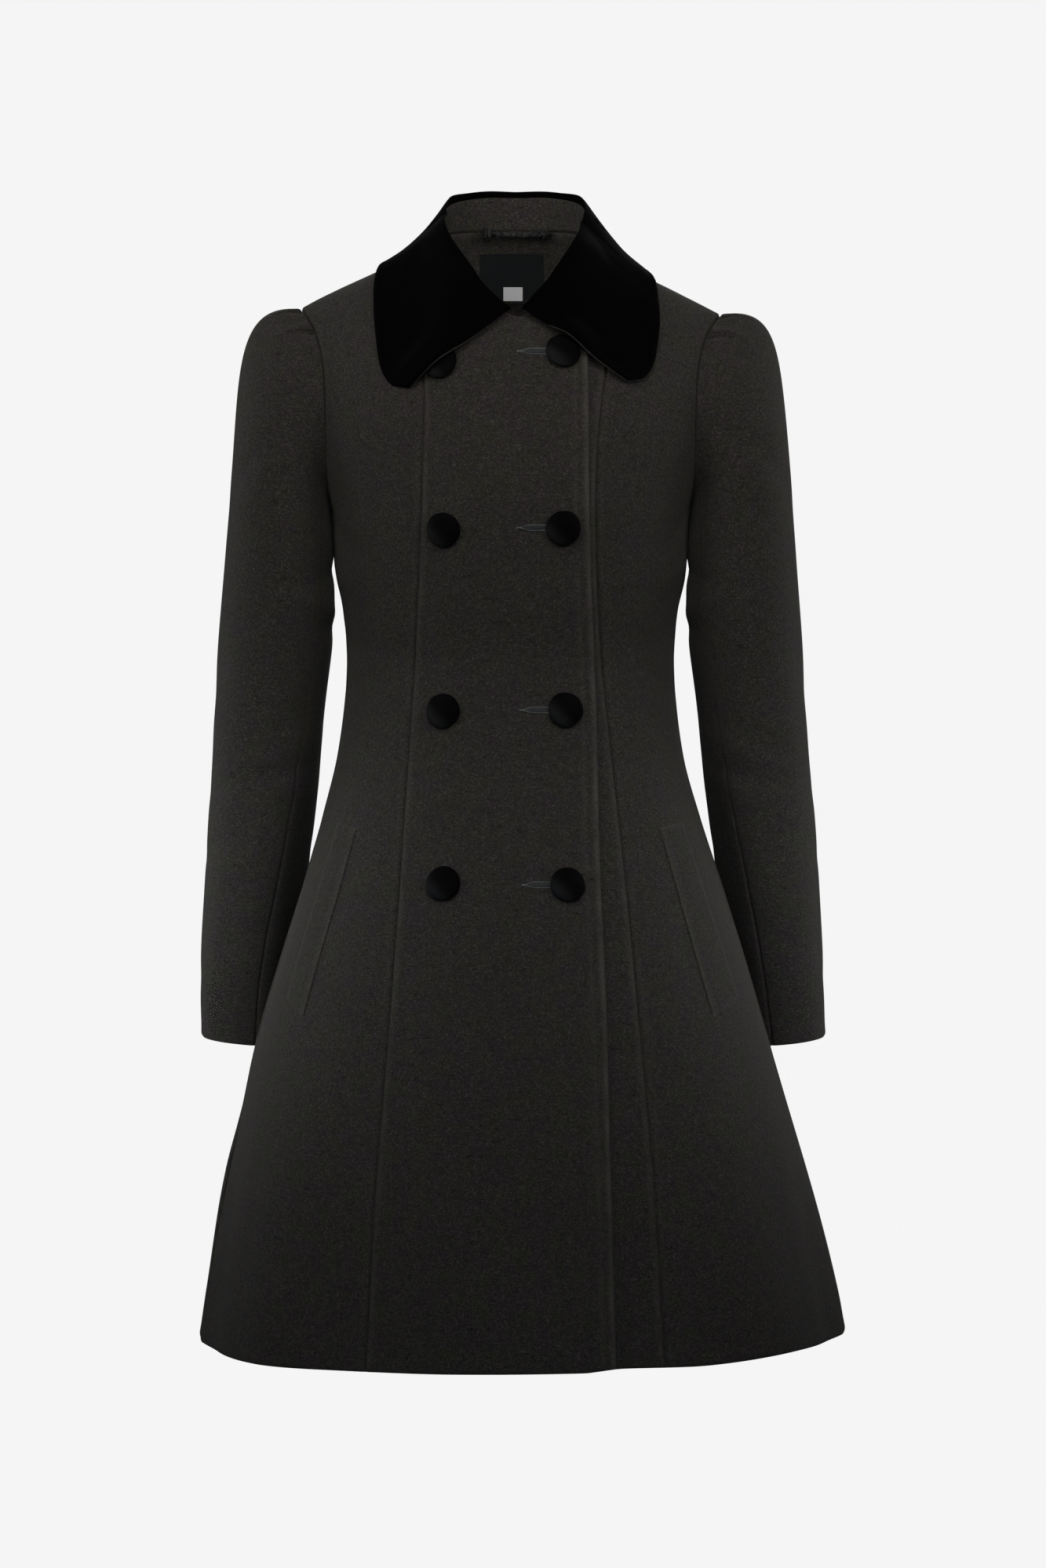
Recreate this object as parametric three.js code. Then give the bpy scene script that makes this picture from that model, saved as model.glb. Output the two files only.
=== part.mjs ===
import * as THREE from 'three';

// A double-breasted skater coat in wool with a velvet collar, hollow, as it hangs on a wearer.
// Millimetres. +X is the wearer's left, -Y the front, +Z up. The origin is the middle of the
// neck opening, level with the inner ends of the shoulder seams.

const DEG = Math.PI / 180;

// Cloth thicknesses and clearances
const WOOL = 2.4;
const VELVET = 1.2;
const UNDER_COLLAR = 1.0;
const STAND = 1.8;
const FACING = 1.2;
const LABEL = 1.0;
const WELT = 2.0;
const SEAM_GAP = 0.3;
const OVERLAP_LIFT = 3.7;

// Levels
const HEM_Z = -886;
const UNDERARM_Z = -212;
const SHOULDER_TIP = { x: 170, z: -48 };
const SIDE_NECK_X = 74;
const NECK_CENTRE_X = 4;

// How finely the panels are divided: rows below and above the underarm
const SKIRT_ROWS = 15;
const TOP_ROWS = 7;
const ROWS = SKIRT_ROWS + TOP_ROWS;

const wool = () => new THREE.MeshStandardMaterial({ color: 0x2b2a28, roughness: 0.95, metalness: 0 });
const velvet = () => new THREE.MeshStandardMaterial({ color: 0x050508, roughness: 0.8, metalness: 0 });
const woven = (color) => new THREE.MeshStandardMaterial({ color, roughness: 0.9, metalness: 0 });

const coat = new THREE.Group();

function addMesh(name, geometry, material) {
  const mesh = new THREE.Mesh(geometry, material);
  mesh.name = name;
  coat.add(mesh);
}

const lerp = (a, b, t) => a + (b - a) * t;
const clamp01 = (t) => Math.min(1, Math.max(0, t));
const smooth = (t) => clamp01(t) ** 2 * (3 - 2 * clamp01(t));
const vec = (x, y, z) => new THREE.Vector3(x, y, z);

// A table read along a smooth curve through its rows: read(column, position)
function table(key, rows) {
  const sorted = rows.toSorted((a, b) => a[key] - b[key]);
  const slope = (name, i) => {
    const before = sorted[Math.max(i - 1, 0)];
    const after = sorted[Math.min(i + 1, sorted.length - 1)];
    return (after[name] - before[name]) / (after[key] - before[key]);
  };
  return (name, at) => {
    const last = sorted.length - 1;
    if (at <= sorted[0][key]) return sorted[0][name];
    if (at >= sorted[last][key]) return sorted[last][name];
    const i = sorted.findIndex((row) => row[key] > at) - 1;
    const [a, b] = [sorted[i], sorted[i + 1]];
    const span = b[key] - a[key];
    const t = (at - a[key]) / span;
    const rise = t * t * (3 - 2 * t);
    const lead = t * (1 - t) ** 2 * span * slope(name, i);
    const trail = t * t * (t - 1) * span * slope(name, i + 1);
    return lerp(a[name], b[name], rise) + lead + trail;
  };
}

// Body sections: half width, depth of front and back from the middle line, and the middle's shift
const body = table('z', [
  { z: 22, half: 188, front: 88, back: 60, shiftX: 0, shiftY: 0 },
  { z: -48, half: 185, front: 92, back: 92, shiftX: 0, shiftY: 0 },
  { z: -100, half: 176, front: 108, back: 106, shiftX: 0, shiftY: 0 },
  { z: -154, half: 161, front: 120, back: 110, shiftX: 0, shiftY: 0 },
  { z: -212, half: 145, front: 124, back: 108, shiftX: 0, shiftY: 0 },
  { z: -281, half: 137, front: 114, back: 99, shiftX: 0, shiftY: 0 },
  { z: -338, half: 132.5, front: 104, back: 94, shiftX: 0, shiftY: 0 },
  { z: -408, half: 140, front: 110, back: 102, shiftX: 0, shiftY: 0 },
  { z: -459, half: 153, front: 121, back: 112, shiftX: 0.4, shiftY: -2 },
  { z: -516, half: 170, front: 134, back: 122, shiftX: 1.2, shiftY: -6 },
  { z: -615, half: 200, front: 153, back: 138, shiftX: 1.5, shiftY: -12 },
  { z: -738, half: 233, front: 175, back: 160, shiftX: 5, shiftY: -14 },
  { z: -840, half: 254.5, front: 190, back: 176, shiftX: 9, shiftY: -14 },
  { z: -886, half: 262, front: 196, back: 183, shiftX: 10, shiftY: -14 },
]);
const BOXINESS = 0.05;
const FRONT_SHOULDER_DROP = 150;
const BACK_SHOULDER_DROP = 70;
const SHOULDER_SLOPE = 0.5;
const NECK_SLOPE = 1.3;

// Soft folds of the skirt: height out of the surface (less than 0 for a valley), angle, half width
// in degrees, and the level where each starts
const FOLDS = [
  { angle: 20, height: -9, width: 8, top: -360 },
  { angle: 44, height: 6, width: 15, top: -560 },
  { angle: -46, height: 6, width: 15, top: -560 },
  { angle: -8, height: 3, width: 22, top: -420 },
  { angle: 68, height: -4, width: 12, top: -600 },
  { angle: -70, height: -4, width: 12, top: -600 },
  { angle: 114, height: -9, width: 20, top: -430 },
  { angle: -114, height: -9, width: 20, top: -430 },
  { angle: 140, height: 8, width: 16, top: -470 },
  { angle: -143, height: 8, width: 16, top: -470 },
  { angle: 163, height: -7, width: 13, top: -500 },
  { angle: -166, height: -7, width: 13, top: -500 },
  { angle: 180, height: 5, width: 12, top: -520 },
];

// The wearer's left shoulder hangs a little lower than the right one
const LEFT_SHOULDER = { drop: 4.5, run: 30 };

// The shoulder seam's height over x, rising steeply inside the neck
function shoulderHeight(x) {
  const out = Math.abs(x) - SIDE_NECK_X;
  const level = -out * (out > 0 ? SHOULDER_SLOPE : NECK_SLOPE);
  return level - LEFT_SHOULDER.drop * smooth((x - SIDE_NECK_X) / LEFT_SHOULDER.run);
}

function fallBelow(drop, distance) {
  const t = clamp01(distance / drop);
  return 1 - (1 - t) ** 2;
}

function skirtFold(angle, z) {
  let height = 0;
  for (const fold of FOLDS) {
    const turn = Math.abs(((angle / DEG - fold.angle + 540) % 360) - 180);
    if (turn < fold.width && z < fold.top) {
      const across = 0.5 + 0.5 * Math.cos((Math.PI * turn) / fold.width);
      const down = smooth((fold.top - z) / (fold.top - HEM_Z));
      height += fold.height * across * down;
    }
  }
  return height;
}

// The coat's outer surface at an angle about its middle (0 front, 90 wearer's left) and a level
function bodySurface(angle, z) {
  const round = 1 + BOXINESS * Math.sin(2 * angle) ** 2;
  const x = body('shiftX', z) + body('half', z) * Math.sin(angle) * round;
  const front = Math.cos(angle) > 0;
  const drop = front ? FRONT_SHOULDER_DROP : BACK_SHOULDER_DROP;
  const shoulder = Math.sqrt(fallBelow(drop, shoulderHeight(x) - z));
  const depth = body(front ? 'front' : 'back', z) * shoulder;
  return vec(x, body('shiftY', z) - depth * Math.cos(angle) * round, z);
}

// How far a point lies outside the body, in the body's own terms: 0 on the surface
function bodyLevel(p) {
  const across = (p.x - body('shiftX', p.z)) / body('half', p.z);
  const y = p.y - body('shiftY', p.z);
  const front = y < 0;
  const drop = front ? FRONT_SHOULDER_DROP : BACK_SHOULDER_DROP;
  const below = (shoulderHeight(p.x) - p.z) / drop;
  const fall = below < 0 ? 2 * below : fallBelow(drop, below * drop);
  return (y / body(front ? 'front' : 'back', p.z)) ** 2 - (1 - across ** 2) * fall;
}

function bodySlope(p) {
  const step = 0.5;
  const along = (axis) => {
    const [a, b] = [p.clone(), p.clone()];
    a[axis] += step;
    b[axis] -= step;
    return (bodyLevel(a) - bodyLevel(b)) / (2 * step);
  };
  return vec(along('x'), along('y'), along('z'));
}

const bodyNormal = (p) => bodySlope(p).normalize();

// Moves a point out of the body until it is at least a clearance away
function clearOfBody(p, clearance) {
  const moved = p.clone();
  for (let pass = 0; pass < 6; pass++) {
    const slope = bodySlope(moved);
    const distance = bodyLevel(moved) / slope.length();
    if (distance < clearance) moved.addScaledVector(slope.normalize(), (clearance - distance) * 0.8);
  }
  return moved;
}

// The angle of a point given by x and level, on the front or the back
function angleOf(x, z, back = false) {
  const target = (x - body('shiftX', z)) / body('half', z);
  let angle = Math.asin(Math.max(-1, Math.min(1, target)));
  for (let pass = 0; pass < 8; pass++) {
    const round = 1 + BOXINESS * Math.sin(2 * angle) ** 2;
    angle = Math.asin(Math.max(-1, Math.min(1, target / round)));
  }
  return back ? Math.PI - angle : angle;
}

// The armhole, by its angle: 0 at the shoulder tip, 90 at the front, 180 underarm, 270 at the back
const ARMHOLE = { middleZ: -130, halfHeight: 82, underX: 145, flare: 25, bow: 3 };

function armhole(turn, side) {
  const top = ((1 + Math.cos(turn)) / 2) ** 6;
  const x = ARMHOLE.underX + ARMHOLE.flare * top + ARMHOLE.bow * Math.abs(Math.sin(turn));
  const drop = side > 0 ? LEFT_SHOULDER.drop / 2 : 0;
  const z = ARMHOLE.middleZ - drop + (ARMHOLE.halfHeight - drop) * Math.cos(turn);
  const angle = angleOf(x, z, turn > Math.PI);
  return { angle: side * angle, z };
}

// Seams and edges of the fronts, x over the level
const seams = table('z', [
  { z: -13, overlap: 60, rightPrincess: -100, leftPrincess: 100 },
  { z: -66, overlap: 60, rightPrincess: -78, leftPrincess: 84 },
  { z: -120, overlap: 61, rightPrincess: -69, leftPrincess: 74 },
  { z: -180, overlap: 61, rightPrincess: -70, leftPrincess: 68.5 },
  { z: -250, overlap: 62, rightPrincess: -72, leftPrincess: 68 },
  { z: -345, overlap: 66, rightPrincess: -77, leftPrincess: 73.5 },
  { z: -500, overlap: 70, rightPrincess: -87, leftPrincess: 90 },
  { z: -620, overlap: 76, rightPrincess: -95, leftPrincess: 101 },
  { z: -740, overlap: 79, rightPrincess: -104, leftPrincess: 112 },
  { z: -886, overlap: 82, rightPrincess: -112, leftPrincess: 122 },
]);
const SHOULDER_PRINCESS_X = 100;
const UNDERLAP_X = -36;
const OVERLAP_TOP_Z = -68;
const SIDE_SEAM = { angle: 80, waistZ: -330 };
const BACK_SEAM = { hem: 148, waist: 144, waistZ: -338, topX: 96 };

// The neckline from the side neck round to the middle front, and to the middle back
const neckline = table('at', [
  { at: 0, frontX: 74, frontZ: 0, backX: 74, backZ: 0 },
  { at: 0.25, frontX: 69, frontZ: -11, backX: 65, backZ: 9 },
  { at: 0.5, frontX: 54, frontZ: -30, backX: 49, backZ: 18 },
  { at: 0.75, frontX: 30, frontZ: -50, backX: 26, backZ: 21 },
  { at: 1, frontX: 0, frontZ: -64, backX: 0, backZ: 22 },
]);
// The shares of a panel's top edge taken by its shoulder and its neckline
const TOP_EDGE = { shoulder: 0.2, neck: 0.72 };

function neckPoint(at, side, back) {
  const x = NECK_CENTRE_X * smooth(at) + side * neckline(back ? 'backX' : 'frontX', at);
  const z = neckline(back ? 'backZ' : 'frontZ', at);
  return { angle: angleOf(x, z, back), z };
}

function shoulderPoint(x, back = false) {
  const z = shoulderHeight(x);
  return { angle: angleOf(x, z, back), z };
}

// A seam line gives an angle and a level for each row of a panel
function seamLine(below, above) {
  return (row) => {
    if (row > SKIRT_ROWS) return above((row - SKIRT_ROWS) / TOP_ROWS);
    const z = lerp(HEM_Z, UNDERARM_Z, row / SKIRT_ROWS);
    return { angle: below(z), z };
  };
}

const rise = (w) => lerp(w, Math.sin((w * Math.PI) / 2), 0.6);

function frontSeam(column, topZ) {
  const angle = (z) => angleOf(seams(column, z), z);
  return seamLine(angle, (w) => {
    const z = lerp(UNDERARM_Z, topZ, rise(w));
    return { angle: angle(z), z };
  });
}

const underlapEdge = seamLine(
  (z) => angleOf(UNDERLAP_X, z),
  (w) => {
    const z = lerp(UNDERARM_Z, OVERLAP_TOP_Z - 4, rise(w));
    return { angle: angleOf(UNDERLAP_X, z), z };
  },
);

function sideSeam(side, back) {
  const below = (z) => {
    const up = smooth((z - SIDE_SEAM.waistZ) / (UNDERARM_Z - SIDE_SEAM.waistZ));
    const angle = side * lerp(SIDE_SEAM.angle, 90, up) * DEG;
    return back && side < 0 ? angle + 2 * Math.PI : angle;
  };
  return seamLine(below, (w) => {
    const point = armhole(back ? Math.PI * (1 + w) : Math.PI * (1 - w), side);
    return { angle: back && side < 0 ? point.angle + 2 * Math.PI : point.angle, z: point.z };
  });
}

function backSeam(side) {
  const around = (angle) => (side > 0 ? angle : 2 * Math.PI - angle);
  const below = (z) => lerp(BACK_SEAM.waist, BACK_SEAM.hem, smooth((BACK_SEAM.waistZ - z) / 400)) * DEG;
  const topZ = shoulderHeight(BACK_SEAM.topX);
  return seamLine(
    (z) => around(below(z)),
    (w) => {
      const z = lerp(UNDERARM_Z, topZ, rise(w));
      const top = angleOf(BACK_SEAM.topX, topZ, true);
      return { angle: around(lerp(below(UNDERARM_Z), top, smooth(w))), z };
    },
  );
}

// A panel's points: rows from hem to top, columns from its first seam to its second
function panelPoints({ first, second, top, columns }) {
  const grid = [];
  for (let row = 0; row <= ROWS; row++) {
    const [a, b] = [first(row), second(row)];
    const [endA, endB] = [first(ROWS), second(ROWS)];
    const pull = clamp01((row - SKIRT_ROWS) / TOP_ROWS) ** 2;
    const line = [];
    for (let column = 0; column <= columns; column++) {
      const u = column / columns;
      const end = top(u);
      const angle = lerp(a.angle, b.angle, u) + pull * (end.angle - lerp(endA.angle, endB.angle, u));
      const level = lerp(a.z, b.z, u) + pull * (end.z - lerp(endA.z, endB.z, u));
      const z = raisedHem(angle, level);
      const point = bodySurface(angle, z);
      const normal = bodyNormal(point);
      point.addScaledVector(normal, skirtFold(angle, z));
      line.push({ point, normal, u });
    }
    grid.push(line);
  }
  return grid;
}

// How far the hem rises above its lowest level, around the coat in degrees
const hemRise = table('turn', [
  { turn: -180, rise: 0 },
  { turn: -150, rise: 2 },
  { turn: -90, rise: 7.5 },
  { turn: -69, rise: 4.4 },
  { turn: -46, rise: 0 },
  { turn: 10, rise: 0 },
  { turn: 17, rise: 3 },
  { turn: 32, rise: 3.4 },
  { turn: 53, rise: 9.9 },
  { turn: 80, rise: 12.8 },
  { turn: 125, rise: 8 },
  { turn: 180, rise: 0 },
]);
const HEM_RISE_HEIGHT = 140;

function raisedHem(angle, z) {
  const turn = ((angle / DEG + 540) % 360) - 180;
  return z + hemRise('rise', turn) * (1 - smooth((z - HEM_Z) / HEM_RISE_HEIGHT));
}

// Draws a panel's outermost points in by half the seam gap
function seamAllowance(points, gap = SEAM_GAP / 2) {
  const drawn = points.map((line) => line.map((p) => p.clone()));
  const pull = (row, column, towardRow, towardColumn) => {
    const step = points[towardRow][towardColumn].clone().sub(points[row][column]);
    drawn[row][column].addScaledVector(step.normalize(), gap);
  };
  const last = points.length - 1;
  const end = points[0].length - 1;
  for (let row = 0; row <= last; row++) {
    pull(row, 0, row, 1);
    pull(row, end, row, end - 1);
  }
  for (let column = 0; column <= end; column++) {
    pull(0, column, 1, column);
    pull(last, column, last - 1, column);
  }
  return drawn;
}

// A closed wall between two grids of points
function wall(outer, inner) {
  const rows = outer.length;
  const columns = outer[0].length;
  const positions = [...outer.flat(), ...inner.flat()].flatMap((p) => [p.x, p.y, p.z]);
  const faces = [];
  const quad = (a, b, c, d) => faces.push(a, b, c, a, c, d);
  const out = (row, column) => row * columns + column;
  const inn = (row, column) => rows * columns + row * columns + column;
  for (let row = 0; row < rows - 1; row++) {
    for (let column = 0; column < columns - 1; column++) {
      quad(out(row, column), out(row, column + 1), out(row + 1, column + 1), out(row + 1, column));
      quad(inn(row, column), inn(row + 1, column), inn(row + 1, column + 1), inn(row, column + 1));
    }
    quad(out(row, 0), out(row + 1, 0), inn(row + 1, 0), inn(row, 0));
    const end = columns - 1;
    quad(out(row, end), inn(row, end), inn(row + 1, end), out(row + 1, end));
  }
  for (let column = 0; column < columns - 1; column++) {
    quad(out(0, column), inn(0, column), inn(0, column + 1), out(0, column + 1));
    const last = rows - 1;
    quad(out(last, column), out(last, column + 1), inn(last, column + 1), inn(last, column));
  }
  if (signedVolume(positions, faces) < 0) faces.reverse();
  const geometry = new THREE.BufferGeometry();
  geometry.setAttribute('position', new THREE.Float32BufferAttribute(positions, 3));
  geometry.setIndex(faces);
  geometry.computeVertexNormals();
  return geometry;
}

function signedVolume(positions, faces) {
  const corner = (i) => vec(...positions.slice(3 * faces[i], 3 * faces[i] + 3));
  let volume = 0;
  for (let i = 0; i < faces.length; i += 3) {
    volume += corner(i).dot(corner(i + 1).cross(corner(i + 2)));
  }
  return volume;
}

const offset = (points, normals, distance) =>
  points.map((line, row) =>
    line.map((p, column) => p.clone().addScaledVector(normals[row][column], distance)));

// A panel of the body, lifted off the surface by lift(u, point), and one cloth thick
function addPanel(name, layout, lift = () => 0) {
  const grid = panelPoints(layout);
  const points = seamAllowance(grid.map((line) => line.map(({ point }) => point)));
  const normals = grid.map((line) => line.map(({ normal }) => normal));
  const raise = (extra) =>
    points.map((line, row) =>
      line.map((p, column) => {
        const away = lift(grid[row][column].u, p) + extra;
        return p.clone().addScaledVector(normals[row][column], away);
      }),
    );
  addMesh(name, wall(raise(0), raise(-WOOL)), wool());
  return { points, normals };
}

// Fronts: the wearer's right front laps over the left one
const overlapLift = (x, z) => {
  const seam = seams('rightPrincess', z);
  return OVERLAP_LIFT * smooth((x - seam) / (UNDERLAP_X - 5 - seam));
};

const shoulderShare = (u) => u / TOP_EDGE.shoulder;
const neckShare = (u) => (u - TOP_EDGE.shoulder) / (TOP_EDGE.neck - TOP_EDGE.shoulder);

function rightCentreTop(u) {
  if (u < TOP_EDGE.shoulder) {
    return shoulderPoint(lerp(-SHOULDER_PRINCESS_X, -SIDE_NECK_X, shoulderShare(u)));
  }
  if (u < TOP_EDGE.neck) return neckPoint(neckShare(u), -1, false);
  const share = (u - TOP_EDGE.neck) / (1 - TOP_EDGE.neck);
  const z = lerp(neckline('frontZ', 1), OVERLAP_TOP_Z, share);
  return { angle: angleOf(lerp(NECK_CENTRE_X, seams('overlap', z), share), z), z };
}

function leftCentreTop(u) {
  const fromSeam = 1 - u;
  if (fromSeam < TOP_EDGE.shoulder) {
    return shoulderPoint(lerp(SHOULDER_PRINCESS_X, SIDE_NECK_X, shoulderShare(fromSeam)));
  }
  if (fromSeam < TOP_EDGE.neck) return neckPoint(neckShare(fromSeam), 1, false);
  const share = (fromSeam - TOP_EDGE.neck) / (1 - TOP_EDGE.neck);
  const z = lerp(neckline('frontZ', 1), OVERLAP_TOP_Z - 4, share);
  return { angle: angleOf(lerp(NECK_CENTRE_X, UNDERLAP_X, share), z), z };
}

const princessTop = shoulderHeight(SHOULDER_PRINCESS_X);
const rightPrincess = frontSeam('rightPrincess', princessTop);
const leftPrincess = frontSeam('leftPrincess', princessTop);
const overlapEdge = frontSeam('overlap', OVERLAP_TOP_Z);

addPanel(
  'front_right_center',
  { first: rightPrincess, second: overlapEdge, top: rightCentreTop, columns: 13 },
  (u, p) => overlapLift(p.x, p.z),
);
addPanel('front_left_center', {
  first: underlapEdge,
  second: leftPrincess,
  top: leftCentreTop,
  columns: 10,
});

const sideTop = (side, from, back) => (u) => {
  const point = shoulderPoint(side * lerp(from, SHOULDER_TIP.x, u), back);
  return back && side < 0 ? { angle: point.angle, z: point.z } : point;
};

const frontSides = {
  right: { first: rightPrincess, second: sideSeam(-1, false), top: sideTop(-1, SHOULDER_PRINCESS_X, false) },
  left: { first: leftPrincess, second: sideSeam(1, false), top: sideTop(1, SHOULDER_PRINCESS_X, false) },
};
for (const [name, layout] of Object.entries(frontSides)) {
  addPanel(`front_${name}_side`, { ...layout, columns: 7 });
}

// Backs: one centre back and two side backs
function backCentreTop(u) {
  const side = u < 0.5 ? 1 : -1;
  const fromSeam = u < 0.5 ? u * 2 : 2 - u * 2;
  const share = TOP_EDGE.shoulder;
  if (fromSeam < share) {
    return shoulderPoint(side * lerp(BACK_SEAM.topX, SIDE_NECK_X, fromSeam / share), true);
  }
  return neckPoint((fromSeam - share) / (1 - share), side, true);
}

const backCentre = addPanel('back_center', {
  first: backSeam(1),
  second: backSeam(-1),
  top: backCentreTop,
  columns: 14,
});
for (const [name, side] of [['right', -1], ['left', 1]]) {
  addPanel(`back_${name}_side`, {
    first: backSeam(side),
    second: sideSeam(side, true),
    top: sideTop(side, BACK_SEAM.topX, true),
    columns: 7,
  });
}

// Sleeves: the outermost x of each section, its two half widths, its turn, and the middle's y
const arm = table('z', [
  { z: -212, outer: 226, thin: 41.5, deep: 60, turn: 0, y: -2 },
  { z: -281, outer: 231.5, thin: 44.1, deep: 58, turn: 0, y: 0 },
  { z: -357, outer: 239, thin: 44, deep: 54, turn: 4, y: 8 },
  { z: -433, outer: 244.5, thin: 43, deep: 51, turn: 10, y: 20 },
  { z: -510, outer: 250.5, thin: 40, deep: 49, turn: 18, y: 40 },
  { z: -586, outer: 256, thin: 36, deep: 48, turn: 24, y: 68 },
  { z: -646, outer: 258, thin: 34, deep: 48, turn: 28, y: 94 },
]);
const SLEEVE = {
  bicepZ: -212, bicepTilt: 33, cuffZ: -645, cuffTilt: 5, capRows: 6, armRows: 11,
  headReach: 46, headRise: 6, headLean: 7, fallTop: 84, fallUnder: 8, seam: 140, heart: { x: 150, z: -190 },
};

// Pleats of the sleeve head: angle from the shoulder, half width, height and how far they run
const PLEATS = [
  { angle: 13, width: 13, height: 4.5, length: 0.55 },
  { angle: 38, width: 11, height: 3, length: 0.5 },
  { angle: -15, width: 13, height: 4, length: 0.55 },
  { angle: -40, width: 11, height: 3, length: 0.5 },
];

function armSection(turn, z, tilt, side) {
  const level = z + tilt * Math.cos(turn);
  const [thin, deep] = [arm('thin', z), arm('deep', z)];
  const twist = arm('turn', z) * DEG;
  const halfSeen = Math.hypot(thin * Math.cos(twist), deep * Math.sin(twist));
  const [u, v] = [thin * Math.cos(turn), -deep * Math.sin(turn)];
  const x = arm('outer', z) - halfSeen + u * Math.cos(twist) - v * Math.sin(twist);
  const y = arm('y', z) + u * Math.sin(twist) + v * Math.cos(twist);
  return vec(side * x + body('shiftX', level), y, level);
}

function pleatHeight(turn, along) {
  const degrees = ((turn / DEG + 540) % 360) - 180;
  let height = 0;
  for (const pleat of PLEATS) {
    const across = Math.abs(degrees - pleat.angle) / pleat.width;
    if (across < 1 && along < pleat.length) {
      height += pleat.height * (0.5 + 0.5 * Math.cos(Math.PI * across)) * (1 - along / pleat.length);
    }
  }
  return height;
}

function sleevePoint(turn, row, side) {
  if (row > SLEEVE.capRows) {
    const share = (row - SLEEVE.capRows) / SLEEVE.armRows;
    const z = lerp(SLEEVE.bicepZ, SLEEVE.cuffZ, share);
    return armSection(turn, z, lerp(SLEEVE.bicepTilt, SLEEVE.cuffTilt, smooth(share * 2)), side);
  }
  const t = row / SLEEVE.capRows;
  const seam = armhole((turn + 2 * Math.PI) % (2 * Math.PI), side);
  const start = bodySurface(seam.angle, seam.z);
  start.x += side * 2 * SEAM_GAP;
  const end = armSection(turn, SLEEVE.bicepZ, SLEEVE.bicepTilt, side);
  const upper = Math.cos(turn / 2) ** 2;
  const out = start.clone().add(vec(side * SLEEVE.headReach * upper, 0, SLEEVE.headRise * upper ** 3));
  const fall = lerp(SLEEVE.fallUnder, SLEEVE.fallTop, upper);
  const over = end.clone().add(vec(-side * SLEEVE.headLean * upper, 0, fall));
  const point = new THREE.CubicBezierCurve3(start, out, over, end).getPoint(t);
  const heart = vec(side * SLEEVE.heart.x, 0, SLEEVE.heart.z);
  const away = point.clone().sub(heart).normalize();
  return point.addScaledVector(away, pleatHeight(turn, t) * Math.min(1, t * 6));
}

// Normals of a grid of points, turned to face away from the line of centres
function gridNormals(points, centres) {
  const last = points.length - 1;
  const end = points[0].length - 1;
  return points.map((line, row) =>
    line.map((p, column) => {
      const [r0, r1] = [Math.max(row - 1, 0), Math.min(row + 1, last)];
      const [c0, c1] = [Math.max(column - 1, 0), Math.min(column + 1, end)];
      const down = points[r1][column].clone().sub(points[r0][column]);
      const across = points[row][c1].clone().sub(points[row][c0]);
      const normal = down.cross(across).normalize();
      return normal.dot(p.clone().sub(centres(row, column))) < 0 ? normal.negate() : normal;
    }),
  );
}

function sleeveNormal(turn, row, side) {
  const [turnStep, rowStep] = [0.04, 0.1];
  const last = SLEEVE.capRows + SLEEVE.armRows;
  const around = sleevePoint(turn + turnStep, row, side).sub(sleevePoint(turn - turnStep, row, side));
  const below = sleevePoint(turn, Math.min(row + rowStep, last), side);
  const along = below.sub(sleevePoint(turn, Math.max(row - rowStep, 0), side));
  return along.cross(around).multiplyScalar(-side).normalize();
}

function addSleevePiece(name, side, turns) {
  const points = [];
  const normals = [];
  for (let row = 0; row <= SLEEVE.capRows + SLEEVE.armRows; row++) {
    points.push(turns.map((turn) => sleevePoint(turn, row, side)));
    normals.push(turns.map((turn) => sleeveNormal(turn, row, side)));
  }
  const drawn = seamAllowance(points);
  addMesh(name, wall(drawn, offset(drawn, normals, -WOOL)), wool());
}

// Angles from one seam of the sleeve to the other, closer together near the shoulder
function spread(from, to, count, gather = 1) {
  const middle = (from + to) / 2;
  return Array.from({ length: count + 1 }, (unused, i) => {
    const share = (2 * i) / count - 1;
    const turn = middle + Math.sign(share) * Math.abs(share) ** gather * ((to - from) / 2);
    return turn * DEG;
  });
}

for (const [name, side] of [['right', -1], ['left', 1]]) {
  addSleevePiece(`sleeve_${name}_upper`, side, spread(-SLEEVE.seam, SLEEVE.seam, 26, 1.25));
  addSleevePiece(`sleeve_${name}_under`, side, spread(SLEEVE.seam, 360 - SLEEVE.seam, 8));
}

// Collar stations from the middle back (0) to the front end (9): the fold line and the outer edge.
// The neck seam below them is the neckline. The last column is each leaf's share of its own width and drop.
const collar = table('at', [
  { at: 0, rollX: 0, rollY: 66, rollZ: 55, edgeX: 0, edgeY: 84, edgeZ: -10, leaf: 0 },
  { at: 1, rollX: 26, rollY: 62, rollZ: 55, edgeX: 45, edgeY: 76, edgeZ: -12, leaf: 0 },
  { at: 2, rollX: 46, rollY: 44, rollZ: 51, edgeX: 82, edgeY: 50, edgeZ: -14, leaf: 0 },
  { at: 3, rollX: 53, rollY: 19, rollZ: 42, edgeX: 106, edgeY: 18, edgeZ: -13, leaf: 0.1 },
  { at: 4, rollX: 54, rollY: -6, rollZ: 28, edgeX: 112, edgeY: -18, edgeZ: -19, leaf: 0.3 },
  { at: 5, rollX: 48, rollY: -26, rollZ: 12, edgeX: 113, edgeY: -46, edgeZ: -44, leaf: 0.6 },
  { at: 6, rollX: 37, rollY: -48, rollZ: -8, edgeX: 112, edgeY: -66, edgeZ: -70, leaf: 0.9 },
  { at: 7, rollX: 22, rollY: -70, rollZ: -30, edgeX: 105, edgeY: -80, edgeZ: -104, leaf: 1 },
  { at: 8, rollX: 10, rollY: -86, rollZ: -47, edgeX: 96, edgeY: -90, edgeZ: -118, leaf: 1 },
  { at: 9, rollX: 1, rollY: -97, rollZ: -60, edgeX: 84, edgeY: -100, edgeZ: -120, leaf: 1 },
]);
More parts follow.
